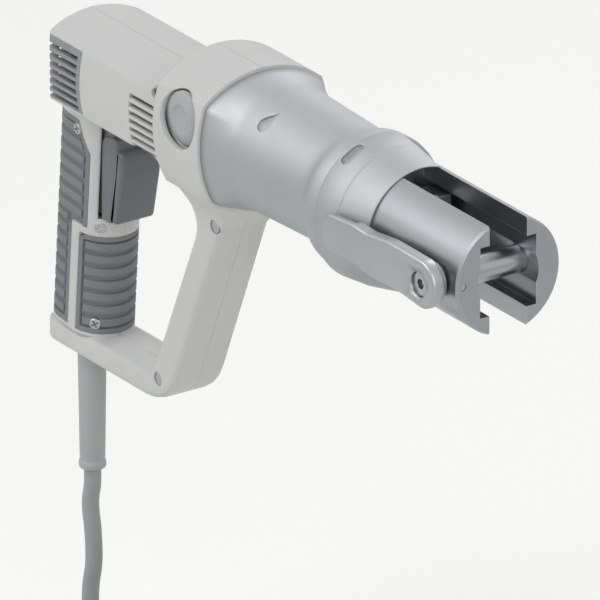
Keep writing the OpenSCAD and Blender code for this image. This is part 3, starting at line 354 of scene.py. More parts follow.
# %% Plug
PLUG_LEN, PLUG_W, PLUG_T, NECK = 38.0, 35.0, 26.0, 12.0
PLUG_CORNER, PLUG_RIM = 6.0, 1.6
STRIPS, GROOVE_INSET, GROOVE_DEPTH = 9, 0.5, 0.8     # every second strip of a side is a groove
SIDE_EDGE, STRIP_AREA, SQUARE_ON = 8.0, 10.0, 0.99   # these tell a side from the small rolled faces
at_plug = (to_floor @ Matrix.Translation(plug_at)
           @ Matrix.Rotation(math.atan2(plug_way.y, plug_way.x), 4, "Z"))


def run_along(edge):
    """How far an edge runs along x, which is the length of the plug."""
    return abs(edge.verts[0].co.x - edge.verts[1].co.x)


bm = bmesh.new()
block = bmesh.ops.create_cube(bm, size=1.0)["verts"]
bmesh.ops.scale(bm, vec=(PLUG_LEN - NECK, PLUG_W, PLUG_T), verts=block)
bmesh.ops.translate(bm, vec=((PLUG_LEN + NECK) / 2, 0, 0), verts=block)
long_edges = [e for e in bm.edges if run_along(e) > 1]
bmesh.ops.bevel(bm, geom=long_edges, offset=PLUG_CORNER, segments=6, profile=0.5, affect="EDGES",
                material=-1)
rims = [e for e in bm.edges if run_along(e) < 0.01]
bmesh.ops.bevel(bm, geom=rims, offset=PLUG_RIM, segments=3, profile=0.5, affect="EDGES",
                material=-1)
flats = [f for f in bm.faces if abs(f.normal.y) > SQUARE_ON]
sides = dict.fromkeys(e for f in flats for e in f.edges if run_along(e) > SIDE_EDGE)
bmesh.ops.subdivide_edges(bm, edges=list(sides), cuts=STRIPS - 1, use_grid_fill=True)
strips = sorted((f for f in bm.faces
                 if abs(f.normal.y) > SQUARE_ON and f.calc_area() > STRIP_AREA),
                key=lambda f: (f.normal.y > 0, f.calc_center_median().x))
pressed = [f for i, f in enumerate(strips) if i % STRIPS % 2 == 1]
bmesh.ops.inset_individual(bm, faces=pressed, thickness=GROOVE_INSET, depth=-GROOVE_DEPTH)
print("the plug has", len(pressed), "finger grooves")

# %% Neck of the plug
spun(bm, [(0, CORD_D / 2 - 0.3), (0, CORD_D / 2 + 0.6), (0.8, CORD_D / 2 + 1), (6, 5.8),
          (NECK - 1, 7), (NECK + 2, 7.6), (NECK + 2, 0)], Matrix.Identity(4), steps=48)
bmesh.ops.transform(bm, matrix=at_plug, verts=bm.verts)
plug_rubber = surface("rubber_moulded_plug", "#9A9C9E", "#8F9193", "#ABADAE", 0.5,
                      grain=0.7, depth=0.03)
plug = finished("plug_housing", bm, "casing", plug_rubber, ["plug_body"])

# %% [markdown]
# ## Finishes of the CAD pieces
#
# The drawing has no colour, so every finish is a neutral of the usual material. The casing is
# glass-filled nylon from a spark-eroded mould. The nose, collar and sleeve are die-cast aluminium
# that was bead-blasted. The fork, bolt and rollers are steel that was turned, ground and milled, so
# their grain runs in fine lines. A finish could also be one plain colour, but then a large
# smooth casing would look like wax.

# %% Plastics
# Glass fibres near the skin of a mould give a dull satin with a fine pebble.
casing_nylon = surface("glass_filled_nylon_moulded", "#D4D5D3", "#C8C9C8", "#E2E2E0", 0.5,
                       grain=0.6, depth=0.07, edge=1.6)
# The same nylon coloured darker, so that a control stands out from the casing.
cap_nylon = surface("nylon_moulded_cap", "#B4B6B8", "#A8AAAC", "#C6C8C9", 0.52,
                    grain=0.6, depth=0.06, edge=1.0)
# Darker again for the louvred rear cap. The tone is partly the cap's own colour, which sets it apart,
# and partly painted shade that stands in for the shadow in its slots, so that they read as one grille.
louvre_cap_nylon_painted_shade = surface("nylon_moulded_louvres_painted_shade", "#95989A", "#8B8E91", "#AAADAE", 0.52,
                       grain=0.6, depth=0.06, edge=1.0)
# A soft overmould scatters light, so it shows almost no highlight.
grip_rubber = surface("thermoplastic_elastomer_moulded", "#85888B", "#7C7F82", "#999C9E", 0.72,
                      grain=0.6, depth=0.06, edge=0.35)
# ABS from a smoother mould has a broad soft highlight.
trigger_abs = surface("abs_moulded_trigger", "#707376", "#686B6E", "#8B8E90", 0.45,
                      grain=0.6, depth=0.03, edge=1.0)
# Black ABS of the switch, the fan and the brush holders, seen only through the louvres.
switch_abs = surface("abs_moulded_black", "#2A2B2D", "#232426", "#3A3B3D", 0.5,
                     grain=0.6, depth=0.03)
# Green solder mask over woven glass, with a slight weave in its gloss.
board_laminate = surface("glass_epoxy_laminate", "#2F6B4A", "#285E41", "#4A8263", 0.4,
                         grain=1.2, depth=0.03, edge=0.3)
print("seven plastics")

# %% Metals
# Blasted castings are grey and even, with a broad sheen and a grain like fine sand.
cast_aluminium = surface("aluminium_die_cast_blasted", "#AEB1B3", "#A2A5A8", "#C3C5C6", 0.55,
                         grain=0.7, depth=0.07, metallic=0.9, edge=1.6)
# A turning tool leaves rings that draw the highlight out across them.
turned_steel = surface("steel_turned", "#A0A3A6", "#94979A", "#BABCBE", 0.34,
                       grain=0.6, depth=0.025, metallic=1.0, edge=0.5, stretch=(1, 0.04, 0.04))
# Milled plate under dull nickel shows long cutter lines.
milled_steel = surface("steel_milled_nickel_plated", "#ACAEB0", "#A0A2A5", "#C4C6C7", 0.38,
                       grain=0.6, depth=0.025, metallic=1.0, edge=0.8, stretch=(0.05, 1, 1))
# Ground pins and rollers are the brightest metal here.
ground_steel = surface("steel_ground", "#A9ABAE", "#9C9EA1", "#C2C3C5", 0.25,
                       grain=0.5, depth=0.012, metallic=1.0, edge=0.4, stretch=(1, 0.05, 0.05))
# Enamelled wire lies in close turns, so the copper looks ridged.
winding_copper = surface("copper_wound_enamelled", "#A0583A", "#8E4A30", "#BC7A5A", 0.4,
                         grain=0.9, depth=0.15, metallic=1.0, stretch=(0.1, 1, 1))
# Stacked sheets show their edges as thin lines across the axis.
sheet_steel = surface("steel_laminated_sheets", "#85888B", "#7A7D80", "#9B9EA0", 0.4,
                      grain=0.5, depth=0.08, metallic=1.0, stretch=(1, 0.03, 0.03))
# Plated brass is a warm pale metal, rubbed bright where the socket grips it.
pin_brass = surface("brass_nickel_plated", "#C4BFB2", "#B6B0A2", "#DAD6CC", 0.28,
                    grain=0.5, depth=0.01, metallic=1.0, edge=0.3)
print("seven metals")

# %% [markdown]
# ## Grip covers
#
# Two soft covers wrap the grip: a stepped pad round the back and a shorter cover round the front.
# Each has a plain rim, a sunk field inside it and a row of raised bars for the fingers. A skin is
# pulled up round the grip row by row, the field is pressed in with an inset, the bars are pulled
# out again with another, and the skin then gets its thickness. The upper corners follow the
# casing's recess: each row of points is drawn towards the middle of the cover, which cuts the rear
# pad's corners straight and rounds the front cover's. Separate bars could be laid on a smooth
# cover, but they wouldn't look moulded in one piece with it.

# %% The line round the grip
GRIP_R, GRIP_HALF, COVER_T = 17.0, 6.0, 2.3   # the grip's section is a slot with round ends
LEAN = Matrix.Rotation(math.radians(4.5), 4, "Y")
RIM, GAP = 2.6, 1.1              # plain rim, and the sunk strip between rim and bars
FIELD_DEPTH, FLANK = 1.6, 0.35   # how deep the field is sunk, and the run of its sloping sides
GRID, SOFT_EDGE = 3.0, 0.3       # widest step of a cover's grid, and the rolling of its edges


def round_grip(s):
    """The point s mm round the grip from the middle of its near side; back is positive."""
    way, run = (1 if s >= 0 else -1), abs(s)
    turn = (run - GRIP_HALF) / GRIP_R
    if turn <= 0:
        return Vector((-way * run, -GRIP_R))
    if turn <= math.pi:
        return Vector((-way * (GRIP_HALF + GRIP_R * math.sin(turn)), -GRIP_R * math.cos(turn)))
    return Vector((-way * (GRIP_HALF - (turn - math.pi) * GRIP_R), GRIP_R))


def lines_between(marks, longest):
    """Sorted grid lines through the marks, with more in between where a gap is wide."""
    marks = sorted(set(round(m, 3) for m in marks))
    lines = []
    for a, b in zip(marks, marks[1:]):
        parts = max(1, math.ceil((b - a) / longest))
        lines += [a + (b - a) * i / parts for i in range(parts)]
    return lines + [marks[-1]]


print("grip is", round(4 * GRIP_HALF + 2 * math.pi * GRIP_R, 1), "mm round")


# %% A cover from its blocks
def grip_cover(name, blocks, bars, corner, node):
    """blocks and bars are [s0, s1, z0, z1]; corner is the width, height and bow of the top's
    corners, where a bow of 1 cuts them straight and 2 rounds them."""
    middle, half = (blocks[0][0] + blocks[0][1]) / 2, (blocks[0][1] - blocks[0][0]) / 2
    wide, high, bow = corner
    around = lines_between([m for b in blocks for m in (b[0], b[0] + RIM, b[1] - RIM, b[1])]
                           + [m for b in bars for m in b[:2]], GRID)
    up = lines_between([m for b in blocks for m in (b[2], b[2] + RIM, b[3] - RIM, b[3])]
                       + [m for b in bars for m in b[2:]], GRID)
    bm = bmesh.new()
    row = [bm.verts.new((*round_grip(s), up[0])) for s in around]
    edges = [bm.edges.new(pair) for pair in zip(row, row[1:])]
    for below, above in zip(up, up[1:]):
        made = bmesh.ops.extrude_edge_only(bm, edges=edges)["geom"]
        bmesh.ops.translate(bm, vec=(0, 0, above - below), verts=new_verts(made))
        edges = [g for g in made if isinstance(g, bmesh.types.BMEdge)]
    middles = [(a + b) / 2 for a, b in zip(around, around[1:])]

    def within(face, zones, margin=0.0):
        """True where the middle of a face lies in one of the zones."""
        at = face.calc_center_median()
        s = min(middles, key=lambda m: (round_grip(m) - at.to_2d()).length)
        return any(z[0] + margin < s < z[1] - margin and z[2] + margin < at.z < z[3] - margin
                   for z in zones)

    spare = [f for f in bm.faces if not within(f, blocks)]
    bmesh.ops.delete(bm, geom=spare, context="FACES")
    if bm.faces[:][0].normal.dot(bm.faces[:][0].calc_center_median() * Vector((1, 1, 0))) < 0:
        bmesh.ops.reverse_faces(bm, faces=bm.faces)
    rows = [[f for f in bm.faces if within(f, [bar])] for bar in bars]
    # where one block stands on another, its field runs on down into the lower one's
    joined = [[b[0], b[1], b[2] - 2 * RIM * (b[2] > up[0]), b[3]] for b in blocks]
    field = [f for f in bm.faces if within(f, joined, RIM)]
    for v in bm.verts:
        rise = max(0.0, (v.co.z - blocks[0][3]) / high + 1)
        if rise > 0:
            s = min(around, key=lambda a: (round_grip(a) - v.co.to_2d()).length)
            kept = 1 - wide / half * (1 - max(0.0, 1 - rise ** bow) ** (1 / bow))
            v.co.xy = round_grip(middle + (s - middle) * kept)
    bmesh.ops.inset_region(bm, faces=field, thickness=FLANK, depth=-FIELD_DEPTH,
                           use_even_offset=True)
    for bar in rows:
        bmesh.ops.inset_region(bm, faces=bar, thickness=FLANK, depth=FIELD_DEPTH,
                               use_even_offset=True)
    bmesh.ops.solidify(bm, geom=bm.faces[:], thickness=COVER_T)
    bmesh.ops.transform(bm, matrix=LEAN, verts=bm.verts)
    piece = finished(name, bm, "casing", grip_rubber, [node], crease=30)
    soft = piece.modifiers.new("soft_edges", "BEVEL")
    soft.width, soft.segments, soft.limit_method = SOFT_EDGE * MM, 2, "ANGLE"
    soft.angle_limit = math.radians(40)


print("covers are pulled up on a grid of", GRID, "mm at most")

# %% Rear pad and front cover
BAR_PITCH, BAR_H = 7.4, 4.6
STEP_BAR_Z, STEP_BAR_H = 7.8, 3.4     # the slimmer bar where the rear pad changes its width
BARS, UP_FIRST, LOW_FIRST = 7, 13.6, -43.6
FRONT_FIRST, FRONT_PITCH = -44.3, 7.0
REAR_CORNER, FRONT_CORNER = (9.2, 16.0, 1.0), (4.0, 4.0, 2.0)


def bar_rows(block, first, count, pitch, height=BAR_H):
    """The raised bars of one block, from the lowest one up."""
    return [[block[0] + RIM + GAP, block[1] - RIM - GAP, z, z + height]
            for z in (first + pitch * i for i in range(count))]


rear_up, rear_low = [-12.8, 78.2, 9.8, 66.0], [-1.2, 66.6, -48.0, 9.8]
front = [-57.4, -8.0, -48.0, 5.8]
grip_cover("grip_rear_cover_ribbed", [rear_up, rear_low],
           bar_rows(rear_up, UP_FIRST, BARS, BAR_PITCH)
           + bar_rows(rear_low, LOW_FIRST, BARS, BAR_PITCH)
           + bar_rows(rear_low, STEP_BAR_Z, 1, BAR_PITCH, STEP_BAR_H),
           REAR_CORNER, "grip_rear_pad")
grip_cover("grip_front_cover_ribbed", [front], bar_rows(front, FRONT_FIRST, BARS, FRONT_PITCH),
           FRONT_CORNER, "grip_front_cover")

# %% [markdown]
# ## Nose casting
#
# The nose carries the pressing force from the pump to the fork. Behind, it has the arched outline
# of the gear case, and within about two centimetres it becomes round. A lathe can't make the arch,
# so a ring of points is pulled along the axis step by step, and at each step every point moves to
# the radius that its section has at that angle. Between the arch and the circle the two are mixed.

# %% Sections of the nose
AXIS_Z = 100.0
ARCH = [(0, -17.8, 54.6), (-26, 2, 65), (26, 2, 65), (0, 22, 60)]   # y, z and radius of each arc
ARCH_INSET = 1.5


def arch_radius(angle):
    """How far the gear case's outline is from the axis at that angle; zero is straight up."""
    y, z = math.sin(angle), math.cos(angle)
    reach = []
    for cy, cz, r in ARCH:
        along = y * cy + z * cz
        reach.append(along + math.sqrt(along ** 2 + (r - ARCH_INSET) ** 2 - cy ** 2 - cz ** 2))
    return min(reach)


def pull_ring(bm, edges, x, drop, radius_at):
    """Extrudes a ring of edges to x and moves each new point to its section's radius there."""
    made = bmesh.ops.extrude_edge_only(bm, edges=edges)["geom"]
    for v in new_verts(made):
        angle = math.atan2(v.co.y, v.co.z - AXIS_Z)
        r = radius_at(angle)
        v.co = (x, r * math.sin(angle), AXIS_Z - drop + r * math.cos(angle))
    return [g for g in made if isinstance(g, bmesh.types.BMEdge)]


print("gear case reaches", round(arch_radius(0), 1), "mm up and", round(arch_radius(math.pi / 2), 1),
      "mm out")

# %% Nose
GEAR_FRONT, BACK_STEP = 146.0, 0.4   # where the nose starts, and how far its back edge is drawn in
NOSE_STEPS, START_R = 160, 30.0
# x, drop of the centre, radius, and the share of the arch that is left in the section
NOSE = [(146.8, 0, 33.5, 1.0), (152, 0, 33.5, 0.7), (157, 0, 33.5, 0.41), (162.5, 0, 33.5, 0.09),
        (163.7, 0, 33.5, 0.04), (165.5, 0, 33.45, 0.01), (168, 0, 33.4, 0.0), (200, 0, 32.4, 0.0),
        (219, 0, 31.8, 0.0), (224, 0.1, 31.8, 0.0), (227.5, 0.3, 32.2, 0.0), (230.5, 0.7, 33.4, 0.0),
        (233, 1.1, 35.0, 0.0), (235.5, 1.4, 36.1, 0.0), (238, 1.5, 36.5, 0.0), (244, 1.5, 36.5, 0.0),
        (244.7, 1.5, 36.3, 0.0), (245, 1.5, 35.6, 0.0), (245, 1.5, 29.5, 0.0)]
bm = bmesh.new()
bmesh.ops.create_circle(bm, segments=NOSE_STEPS, radius=START_R)
bmesh.ops.rotate(bm, matrix=Matrix.Rotation(math.radians(90), 3, "Y"), verts=bm.verts)
bmesh.ops.translate(bm, vec=(GEAR_FRONT, 0, AXIS_Z), verts=bm.verts)
ring = bm.edges[:]
for v in bm.verts:
    angle = math.atan2(v.co.y, v.co.z - AXIS_Z)
    reach = arch_radius(angle) - BACK_STEP
    v.co = (GEAR_FRONT, reach * math.sin(angle), AXIS_Z + reach * math.cos(angle))
for x, drop, r, arch in NOSE:
    ring = pull_ring(bm, ring, x, drop, lambda a: r + arch * (arch_radius(a) - r))
bmesh.ops.holes_fill(bm, edges=[e for e in bm.edges if e.is_boundary], sides=0)
nose = finished("nose_casting", bm, "casing", cast_aluminium, ["nose_cone"], crease=50)

# %% [markdown]
# A drop-shaped pocket is pressed into the near side of the nose. A boolean modifier cuts it with a
# drop that stands along the surface's own normal, and the cutter is thrown away afterwards. Moving
# the nose's own points inwards would need a far finer mesh.

# %% A helper for cuts
def cut_out(piece, bm):
    """Subtracts a bmesh in millimetres from a piece, and keeps the result as its mesh."""
    bmesh.ops.recalc_face_normals(bm, faces=bm.faces)
    bmesh.ops.scale(bm, vec=(MM, MM, MM), verts=bm.verts)
    cutter = bpy.data.objects.new("cutter", bpy.data.meshes.new("cutter"))
    bm.to_mesh(cutter.data)
    bm.free()
    bpy.context.scene.collection.objects.link(cutter)
    carve = piece.modifiers.new("carve", "BOOLEAN")
    carve.operation, carve.solver, carve.object = "DIFFERENCE", "EXACT", cutter
    bpy.context.view_layer.update()
    carved = bpy.data.meshes.new_from_object(
        piece.evaluated_get(bpy.context.evaluated_depsgraph_get()))
    piece.modifiers.remove(carve)
    carved.name, piece.data = piece.data.name, carved
    bpy.data.objects.remove(cutter)
    print(piece.name, "has", len(carved.polygons), "faces after the cut")


print("cuts are ready")

# %% Drop-shaped pocket
DROP_AT, DROP_TURN, DROP_TILT = 180.3, 38.5, 18.0
DROP_R, DROP_LEN, DROP_DEPTH = 3.8, 10.5, 1.8
DROP_TAPER, DROP_STRETCH = 0.35, 1.9     # how the round end draws out towards the tip
DROP_ASIDE, NOSE_R, CUTTER_H = 3.0, 33.0, 6.0
bm = bmesh.new()
bmesh.ops.create_circle(bm, cap_ends=True, segments=24, radius=DROP_R)
tip = max(bm.verts, key=lambda v: v.co.y)
tip.co.y = DROP_LEN
for v in bm.verts:
    if v is not tip and v.co.y > 0:
        v.co.x *= 1 - DROP_TAPER * v.co.y / DROP_R
        v.co.y *= DROP_STRETCH
pulled = bmesh.ops.extrude_face_region(bm, geom=bm.faces[:])["geom"]
bmesh.ops.translate(bm, vec=(0, 0, CUTTER_H), verts=new_verts(pulled))
stand = (Matrix.Translation((DROP_AT, 0, AXIS_Z)) @ Matrix.Rotation(math.radians(DROP_TURN), 4, "X")
         @ Matrix.Translation((0, -DROP_ASIDE, NOSE_R - DROP_DEPTH))
         @ Matrix.Rotation(math.radians(-DROP_TILT), 4, "Z"))
bmesh.ops.transform(bm, matrix=stand, verts=bm.verts)
cut_out(nose, bm)

# %% [markdown]
# ## Slabs with round corners
#
# The lever and the trigger are both plates: an outline with round corners, a thickness, and edges
# that are rolled over. A polygon is made, each corner is bevelled by the length that gives its
# radius, the face is extruded and the two rims are bevelled. A boolean could cut the same forms
# from a block, but its edges would stay sharp.

# %% A slab from its corners
def slab(bm, corners, y0, y1, edge, steps=8):
    """corners are (x, z, radius); the plate lies between y0 and y1, its rims rounded by edge."""
    kept = set(bm.verts)
    points = [bm.verts.new((x, y0, z)) for x, z, _ in corners]
    bm.faces.new(points)
    count = len(corners)
    for i, point in enumerate(points):
        before, after = Vector(corners[i - 1][:2]), Vector(corners[(i + 1) % count][:2])
        here = Vector(corners[i][:2])
        turn = abs((here - before).angle_signed(after - here))
        reach = corners[i][2] * math.tan(turn / 2)
        if reach > 0.01:
            bmesh.ops.bevel(bm, geom=[point], offset=reach, segments=steps, profile=0.5,
                            affect="VERTICES", material=-1)
    face = next(f for f in bm.faces if not kept.intersection(f.verts))
    pulled = bmesh.ops.extrude_face_region(bm, geom=[face])["geom"]
    bmesh.ops.translate(bm, vec=(0, y1 - y0, 0), verts=new_verts(pulled))
    rims = [e for e in bm.edges if not kept.intersection(e.verts)
            and abs(e.verts[0].co.y - e.verts[1].co.y) < WELD]
    bmesh.ops.recalc_face_normals(bm, faces=[f for f in bm.faces if not kept.intersection(f.verts)])
    if edge:
        bmesh.ops.bevel(bm, geom=rims, offset=edge, segments=4, profile=0.5, affect="EDGES",
                        material=-1)


print("slabs are ready")

# %% [markdown]
# ## Swivel collar
#
# The collar turns on the nose, so that the jaws can face any way. It is a turned ring, cut away
# beside the far arm of the fork down to a thin flange, and a slot is sunk in its near upper side
# for a hook spanner. The ring is spun whole and then cut, as in a workshop, since a ring that is
# modelled with its gaps is hard to keep round. The slot's cutter is a slab.

# %% Collar
COLLAR_DROP, COLLAR_R, COLLAR_FRONT_R, FORK_R = 1.5, 38.5, 36.8, 30.6
COLLAR_BACK, COLLAR_FRONT = 245.5, 263.0
TURNED_STEPS = 128
round_axis = Matrix.Translation((0, 0, AXIS_Z - COLLAR_DROP))
bm = bmesh.new()
spun(bm, [(COLLAR_BACK, FORK_R), (COLLAR_BACK, COLLAR_R - 1.1), (COLLAR_BACK + 0.4, COLLAR_R - 0.4),
          (COLLAR_BACK + 1.3, COLLAR_R), (COLLAR_FRONT - 1.2, COLLAR_FRONT_R),
          (COLLAR_FRONT - 0.4, COLLAR_FRONT_R - 0.3), (COLLAR_FRONT, COLLAR_FRONT_R - 0.9),
          (COLLAR_FRONT, FORK_R), (COLLAR_BACK, FORK_R)], round_axis, steps=TURNED_STEPS)
collar = finished("swivel_collar_turned", bm, "head", cast_aluminium, ["swivel_collar"])

# %% Slot in the collar
SLOT_X, SLOT_TURN, SLOT_HALF, SLOT_R, SLOT_DEPTH = 250.6, 29.0, 3.75, 3.25, 2.6
CUTTER_HALF = 4.0
ROUND_SHARE = 0.98         # of the slot's half width, so that its ends keep a short flat
bm = bmesh.new()
slab(bm, [(x * SLOT_R, z * (SLOT_HALF + SLOT_R), ROUND_SHARE * SLOT_R)
          for x, z in ((-1, -1), (1, -1), (1, 1), (-1, 1))], -CUTTER_HALF, CUTTER_HALF, 0)
bmesh.ops.rotate(bm, matrix=Matrix.Rotation(math.radians(90), 3, "X"), verts=bm.verts)
bmesh.ops.transform(bm, verts=bm.verts, matrix=(
    round_axis @ Matrix.Rotation(math.radians(SLOT_TURN), 4, "X")
    @ Matrix.Translation((SLOT_X, 0, COLLAR_R + CUTTER_HALF - SLOT_DEPTH))))
cut_out(collar, bm)

# %% Room beside the far arm, and the flange that is left there
FLANGE_X, FLANGE_R, WINDOW_Y, WINDOW = 247.5, 35.8, 11.0, 100.0
TRIM_BACK, TRIM_FRONT, TRIM_R = COLLAR_BACK - 1.5, FLANGE_X + 1.0, 50.0
bm = bmesh.new()
bmesh.ops.create_cube(bm, size=WINDOW)
bmesh.ops.translate(bm, vec=(FLANGE_X + WINDOW / 2, WINDOW_Y + WINDOW / 2, AXIS_Z), verts=bm.verts)
cut_out(collar, bm)
bm = bmesh.new()
spun(bm, [(TRIM_BACK, FLANGE_R), (TRIM_BACK, TRIM_R), (TRIM_FRONT, TRIM_R), (TRIM_FRONT, FLANGE_R),
          (TRIM_BACK, FLANGE_R)], round_axis, steps=TURNED_STEPS)
bmesh.ops.remove_doubles(bm, verts=bm.verts, dist=WELD)
bmesh.ops.bisect_plane(bm, geom=bm.verts[:] + bm.edges[:] + bm.faces[:], clear_inner=True,
                       plane_co=(0, WINDOW_Y, 0), plane_no=(0, 1, 0))
bmesh.ops.holes_fill(bm, edges=[e for e in bm.edges if e.is_boundary], sides=0)
cut_out(collar, bm)

# %% [markdown]
# ## Locking lever
#
# The lever holds the retaining bolt in the fork. It is milled from steel plate, wide at the bolt,
# waisted in the middle and round at the thumb end, with a round boss that stands on the fork. Its
# inner face is relieved where it passes the collar, and a counterbore takes the head of its screw.
# A slab gives the plate and two cuts do the rest. The boss is turned as a piece of its own, which
# is simpler than pulling a circle out of the plate's many-sided face.

# %% Locking lever
BOLT_X, LEVER_IN, LEVER_OUT, LEVER_T, BOSS_R = 341.0, -31.0, -42.0, 7.0, 9.5
LEVER_TIP, LEVER_LEN, LEVER_HALF, LEVER_EDGE = 354.5, 96.5, 13.4, 1.5
# shares of the length and of the half width at each corner, and the corner's radius as a share
LEVER_SHAPE = [(0, -0.97, 0.9), (0.3, -0.76, 2), (0.6, -0.8, 1.6), (0.72, -0.64, 1.6),
               (1, -0.72, 0.6), (1, 0.72, 0.6), (0.72, 0.88, 1.6), (0.6, 0.83, 1.6),
               (0.4, 1, 2.2), (0, 0.97, 0.9)]
bm = bmesh.new()
slab(bm, [(LEVER_TIP - a * LEVER_LEN, AXIS_Z + b * LEVER_HALF, c * LEVER_HALF)
          for a, b, c in LEVER_SHAPE], LEVER_OUT, LEVER_OUT + LEVER_T, LEVER_EDGE, steps=14)
lever = finished("locking_lever", bm, "lever", milled_steel, ["lock_lever"], crease=40)

# %% Relief and counterbore of the lever
CLEAR_X, CLEAR_Y, CLEAR_BOX = 284.5, -38.8, Vector((50, 20, 60))
SINK_R, SINK_DEPTH, SHANK_R, SHANK_END = 6.2, 6.5, 3.1, 14.0
to_fork = (Matrix.Translation((BOLT_X, LEVER_OUT, AXIS_Z))
           @ Matrix.Rotation(math.radians(90), 4, "Z"))
bm = bmesh.new()
bmesh.ops.create_cube(bm, size=1.0)
bmesh.ops.scale(bm, vec=CLEAR_BOX, verts=bm.verts)
bmesh.ops.translate(bm, vec=(CLEAR_X - CLEAR_BOX.x / 2, CLEAR_Y + CLEAR_BOX.y / 2, AXIS_Z),
                    verts=bm.verts)
cut_out(lever, bm)
bm = bmesh.new()
spun(bm, [(-1, 0), (-1, SINK_R + 0.6), (0.4, SINK_R + 0.1), (SINK_DEPTH, SINK_R),
          (SINK_DEPTH, SHANK_R), (SHANK_END, SHANK_R), (SHANK_END, 0)], to_fork)
bmesh.ops.remove_doubles(bm, verts=bm.verts, dist=WELD)
cut_out(lever, bm)

# %% Boss of the lever
BOSS_ROOT, BOSS_EDGE, BOSS_GAP = LEVER_T - 0.2, 0.5, 0.15
boss_end = LEVER_IN - LEVER_OUT - BOSS_GAP
bm = bmesh.new()
spun(bm, [(BOSS_ROOT, SHANK_R), (BOSS_ROOT, BOSS_R), (boss_end - BOSS_EDGE, BOSS_R),
          (boss_end, BOSS_R - BOSS_EDGE), (boss_end, SHANK_R), (BOSS_ROOT, SHANK_R)], to_fork)
finished("locking_lever_boss", bm, "lever", milled_steel)

# %% [markdown]
# ## Trigger
#
# The trigger slides into the grip. A narrow neck carries a body with flat sides, and in front of
# that lies a rounder pad for the finger, with a groove between the two. All three are slabs across
# the tool's width, and the pad's rims are rolled over the most. A subdivision surface could round
# them more softly, but then the flat sides would bulge.

# %% Trigger
# x, z and radius of each corner
TRIGGER_NECK = [(16, 17, 1), (30, 17, 1), (30, 69.5, 1), (16, 69.5, 1)]
TRIGGER_BODY = [(20.5, 15, 1.5), (28.6, 15, 1.5), (34.4, 42, 24), (35, 62, 1.5), (20.5, 62, 8)]
TRIGGER_FACE = [(28, 15.4, 1), (33.4, 15.4, 2.5), (39.3, 42.5, 24), (39.8, 56, 4), (33.8, 56, 1.5)]
# each slab with half its width and the rolling of its rims
TRIGGER_SLABS = [(TRIGGER_NECK, 10.8, 0.6), (TRIGGER_BODY, 12, 1.2), (TRIGGER_FACE, 12, 2.7)]
bm = bmesh.new()
for outline, half, edge in TRIGGER_SLABS:
    slab(bm, outline, -half, half, edge)
finished("trigger_pad", bm, "trigger", trigger_abs, ["trigger"], crease=45)

# %% [markdown]
# ## Release button
#
# A round button in the gear case lets the pressure off. Its face rises towards a small dish in the
# middle, so that the thumb finds it. Part of a sphere could make the dome, but not the dish and its
# rim, so the button is turned from a profile about the y axis.

# %% Button
BUTTON_X, BUTTON_Z, BUTTON_FACE, BUTTON_R, BUTTON_T = 127.9, 111.4, -35.0, 14.0, 3.2
# depth and radius along the dish, its rim and the slope outside it
BUTTON_CROWN = [(-0.6, 0), (-0.75, 4), (-1.0, 6.8), (-1.35, 7.15), (-1.6, 7.5), (-1.5, 8.2),
                (-0.2, 12.8), (0.3, 13.5)]
into_case = (Matrix.Translation((BUTTON_X, BUTTON_FACE, BUTTON_Z))
             @ Matrix.Rotation(math.radians(90), 4, "Z"))
bm = bmesh.new()
spun(bm, BUTTON_CROWN + [(1, BUTTON_R), (BUTTON_T, BUTTON_R), (BUTTON_T, 0)], into_case, steps=96)
finished("release_button_cap", bm, "button", cap_nylon, ["release_button"], crease=40)

# %% [markdown]
# ## Screws in the grip
#
# Three cross-head screws hold the grip covers: one under the trigger, one at the foot of the front
# cover and one at the top of the rear pad. Each head is turned, and two blades cut its cross one
# after the other, because a single cutter whose own parts cross doesn't cut cleanly. The head's
# axis is the normal of the grip where the drawing shows it.

# %% Grip screws
HEAD_R, HEAD_ROOT = 3.1, -2.0
BLADE, CROSS = (1.6, 4.0, 0.9), (30, 120)     # size of one slot, and the turns of the two
# place round the grip, height, and how far the head stands out
GRIP_SCREWS = [(-20.1, 10.9, 0.25), (-19.5, -42.6, 0.5), (-2.5, 60.7, 0.5)]
for number, (s, height, proud) in enumerate(GRIP_SCREWS, 1):
    here = round_grip(s)
    outwards = (here - Vector((max(-GRIP_HALF, min(GRIP_HALF, here.x)), 0))).normalized()
    facing = math.atan2(outwards.y, outwards.x)
    seat = (LEAN @ Matrix.Translation((here.x, here.y, height))
            @ Matrix.Rotation(facing, 4, "Z"))
    bm = bmesh.new()
    spun(bm, [(HEAD_ROOT, 0), (HEAD_ROOT, HEAD_R), (proud - 0.6, HEAD_R),
              (proud - 0.15, HEAD_R - 0.35), (proud, HEAD_R - 1.2), (proud, 0)], seat, steps=40)
    screw = finished(f"grip_screw_{number}", bm, "casing", ground_steel)
    for across in CROSS:
        bm = bmesh.new()
        bmesh.ops.create_cube(bm, size=1.0)
        bmesh.ops.scale(bm, vec=BLADE, verts=bm.verts)
        bmesh.ops.transform(bm, verts=bm.verts, matrix=(
            seat @ Matrix.Translation((proud, 0, 0))
            @ Matrix.Rotation(math.radians(across), 4, "X")))
        cut_out(screw, bm)

# %% [markdown]
# ## Finishes on the CAD pieces that stay
#
# Where a CAD shape is right already, its mesh stays as it is and only gets a finish. A material could
# be assigned to each piece in turn, but one table shows at a glance which pieces are made of what.

